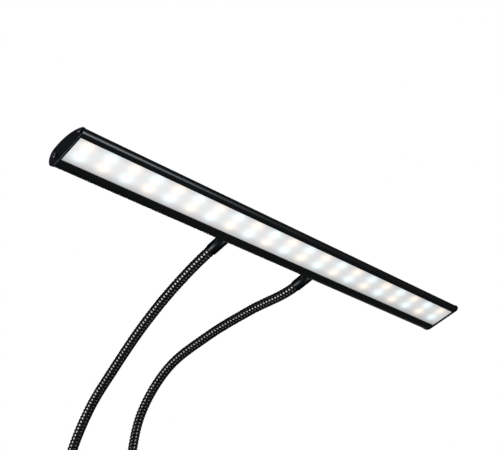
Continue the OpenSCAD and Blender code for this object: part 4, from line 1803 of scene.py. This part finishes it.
    def build_moving_pad(self) -> None:
        """Turns the moving pad: a steel plate and its rubber with three grooves."""
        face, joint, back = self.disc_y
        bore, depth = self.socket
        dish = [(radius, back - drop) for radius, drop in self.dish]
        profile = [
            *rings(self.disc_r, joint, self.plate_foot), *rings(self.disc_r, back, self.plate_top),
            *dish, (bore, dish[-1][1]), (bore, back - depth),
        ]
        plate = Piece.turned("pad_plate", profile, Sides.LARGE).smooth().placed(self.on_axis)
        plate.dressed(Finishes.steel, "plain_steel", "moving_pad_plate").rides("pad")
        profile = rings(self.disc_r, joint, self.rubber_back) + rings(self.disc_r, face, self.rubber_face)
        for radius in self.grooves:
            profile += rings(radius, face, self.groove)
        rubber = Piece.turned("pad_rubber", profile, Sides.LARGE).smooth().placed(self.on_axis)
        rubber.dressed(Finishes.rubber, "black_rubber", "moving_pad_rubber").rides("pad")

    def build_screw(self) -> None:
        """Cuts the screw's thread and gives it a plain nose."""
        tip, start, end = self.rod_y
        pitch, root, crest = self.rod_pitch, self.rod_root, self.rod_r
        thread_end = self.knob_y[0] + self.thread_in
        turns = math.ceil((thread_end - start) / pitch) + 2
        tooth = [
            Vector((radius, 0, start + (share - 1) * pitch)) * MM
            for radius, share in zip((root, root, crest, crest, root), (0.0, *self.tooth_shares, 1.0))
        ]
        rod = Piece.wound("screw_rod", tooth, pitch, turns, Sides.SMALL, self.thread_weld)
        rod.trimmed(start, thread_end).turn_outwards().smooth(angle=25)
        profile = [*rings(self.nose_r, tip, self.nose_tip), (self.nose_r, start + self.overlap)]
        nose = Piece.turned("screw_nose", profile, Sides.SMALL).smooth()
        shank = Piece.rod("screw_shank", root, (thread_end - self.overlap, end), Sides.SMALL).smooth()
        rod.joined([nose, shank]).placed(self.on_axis)
        rod.dressed(Finishes.steel, "plain_steel", "clamp_screw").rides("screw")

    def build_knob(self) -> None:
        """Moulds the lobed knob and sinks a recess in its end."""
        low, high = self.knob_y
        deselect_all()
        bpy.ops.mesh.primitive_circle_add(
            vertices=self.knob_sides, radius=self.knob_mean * MM, fill_type="NGON"
        )
        knob = Piece("knob")
        with knob.editing() as mesh:
            for point in mesh.verts:
                angle = math.atan2(point.co.y, point.co.x)
                wave = 1 + self.knob_wave / self.knob_mean * math.cos(self.lobes * (angle - math.pi / 2))
                point.co = Vector((point.co.x * wave, point.co.y * wave, low * MM))
            bmesh.update_edit_mesh(knob.obj.data)
        foot = self.knob_low[0][0]
        with knob.editing():
            bpy.ops.mesh.select_all(action="SELECT")
            bpy.ops.transform.resize(value=(foot, foot, 1))
        shares = [(share, low + rise) for share, rise in self.knob_low]
        knob.ringed(shares + [(share, high - fall) for share, fall in self.knob_high])
        levels = (high - self.cap_t, high + PAST)
        recess = Piece.rod("recess_tool", self.cap_r + self.cap_gap, levels, Sides.LARGE)
        knob.cut(recess).smooth(angle=38).placed(self.on_axis)
        knob.dressed(Finishes.housing, "black_plastic", "clamp_knob").rides("screw")

    def build_knob_cap(self) -> None:
        """Turns the cap in the knob's end, with a ring sunk in its face."""
        high = self.knob_y[1]
        profile = [
            (self.cap_r, high - self.cap_t), *rings(self.cap_r, high, self.cap_round),
            *((share * self.cap_r, high - drop) for share, drop in self.cap_ring),
        ]
        disc = Piece.turned("knob_disc", profile, Sides.LARGE).smooth().placed(self.on_axis)
        disc.dressed(Finishes.button, "button_plastic", "knob_cap").rides("screw")


# The studio


@dataclass(frozen=True)
class SoftLight:
    """A soft light: where it stands, what it looks at, how large it is and how strong."""

    name: str
    place: Point3
    aim: Point3
    size: Point2
    power: float


@dataclass
class Studio:
    """The camera, the floor, the lights and the white around them.

    The front light stands low and draws the broad line of light along the bar's nose. The side light
    stands beyond the floor's clear rim and lower than it, and lights the goosenecks from the low left.
    """

    eye: Point3 = (-453.45, -701.4, -111.7)
    yaw: float = 42.80
    pitch: float = 29.94
    lens: float = 62.62
    sensor: float = 36.0
    clip: float = 10.0
    floor_at: Point3 = (120.0, 120.0, -46.5)
    floor_r: float = 650.0
    floor_sides: int = 128
    floor_fade: Point2 = (280.0, 620.0)
    white: str = "#ffffff"
    ambient: float = 0.36
    lights: tuple[SoftLight, ...] = (
        SoftLight("key", (-900, -230, 560), (-40, -90, 150), (400, 400), 3.0),
        SoftLight("front", (35, -600, -160), (-170, -233, 226), (200, 420), 12.4),
        SoftLight("side", (-764, 153, -199), (-40, -110, 160), (340, 420), 26.0),
        SoftLight("back", (600, 900, 900), (0, -100, 150), (900, 600), 16.0),
    )

    def build(self) -> None:
        """Builds the studio."""
        self.build_camera()
        self.build_floor()
        self.build_world()
        for light in self.lights:
            self.build_light(light)
        bpy.context.scene.view_settings.view_transform = "Standard"

    def build_camera(self) -> None:
        """Stands the camera where the photograph was taken."""
        deselect_all()
        yaw, pitch = math.radians(self.yaw), math.radians(self.pitch)
        bpy.ops.object.camera_add(location=Vector(self.eye) * MM, rotation=(math.pi / 2 + pitch, 0, -yaw))
        camera = bpy.context.object
        camera.name = "photo_camera"
        camera.data.sensor_width = self.sensor
        camera.data.lens = self.lens
        camera.data.clip_start = self.clip * MM
        bpy.context.scene.camera = camera

    def build_floor(self) -> None:
        """Lays the pale round floor under the clamp."""
        deselect_all()
        bpy.ops.mesh.primitive_circle_add(
            vertices=self.floor_sides, radius=self.floor_r * MM, fill_type="NGON",
            location=Vector(self.floor_at) * MM,
        )
        floor = Piece("floor").placed(Matrix.Identity(4), keep=True)
        # rolled matt paint: pale and even, without gloss
        paint = FloorFinish(
            "pale matt paint", "#e3e3e1", "#e0e0de", 0.75, 0.05, specular=0.2, grain_mm=2.0,
            middle=self.floor_at, fade=self.floor_fade,
        )
        floor.obj.data.materials.append(paint.material())

    def build_world(self) -> None:
        """Makes the surroundings white to the eye and in reflections, and dim as a light."""
        world = bpy.data.worlds.new("white studio")
        world.use_nodes = True
        bpy.context.scene.world = world
        tree = world.node_tree
        tree.nodes.clear()
        path = add_node(tree, "ShaderNodeLightPath")
        seen = path.outputs["Is Camera Ray"]
        for ray in ("Is Glossy Ray", "Is Transmission Ray"):
            seen = add_node(
                tree, "ShaderNodeMath", {0: seen, 1: path.outputs[ray]}, operation="MAXIMUM"
            ).outputs[0]
        strength = add_node(tree, "ShaderNodeMapRange", {
            "Value": seen, "To Min": self.ambient, "To Max": 1.0,
        }).outputs["Result"]
        sky = add_node(tree, "ShaderNodeBackground", {"Color": linear(self.white), "Strength": strength})
        add_node(tree, "ShaderNodeOutputWorld", {"Surface": sky.outputs["Background"]})

    @staticmethod
    def build_light(light: SoftLight) -> None:
        """Hangs one soft light.

        Args:
            light: the light.
        """
        deselect_all()
        place, aim = Vector(light.place) * MM, Vector(light.aim) * MM
        turn = (aim - place).to_track_quat("-Z", "Y").to_euler()
        bpy.ops.object.light_add(type="AREA", location=place, rotation=turn)
        lamp = bpy.context.object
        lamp.name = light.name
        lamp.data.shape = "RECTANGLE"
        lamp.data.size, lamp.data.size_y = (size * MM for size in light.size)
        lamp.data.energy = light.power
        lamp.visible_camera = False


def main() -> None:
    """Builds the studio and then the music stand light, sub-assembly by sub-assembly."""
    logging.basicConfig(level=logging.INFO, format="%(message)s")
    for assembly in (Studio, LampBar, Goosenecks, Base, Clamp):
        assembly().build()


if __name__ == "__main__":
    main()
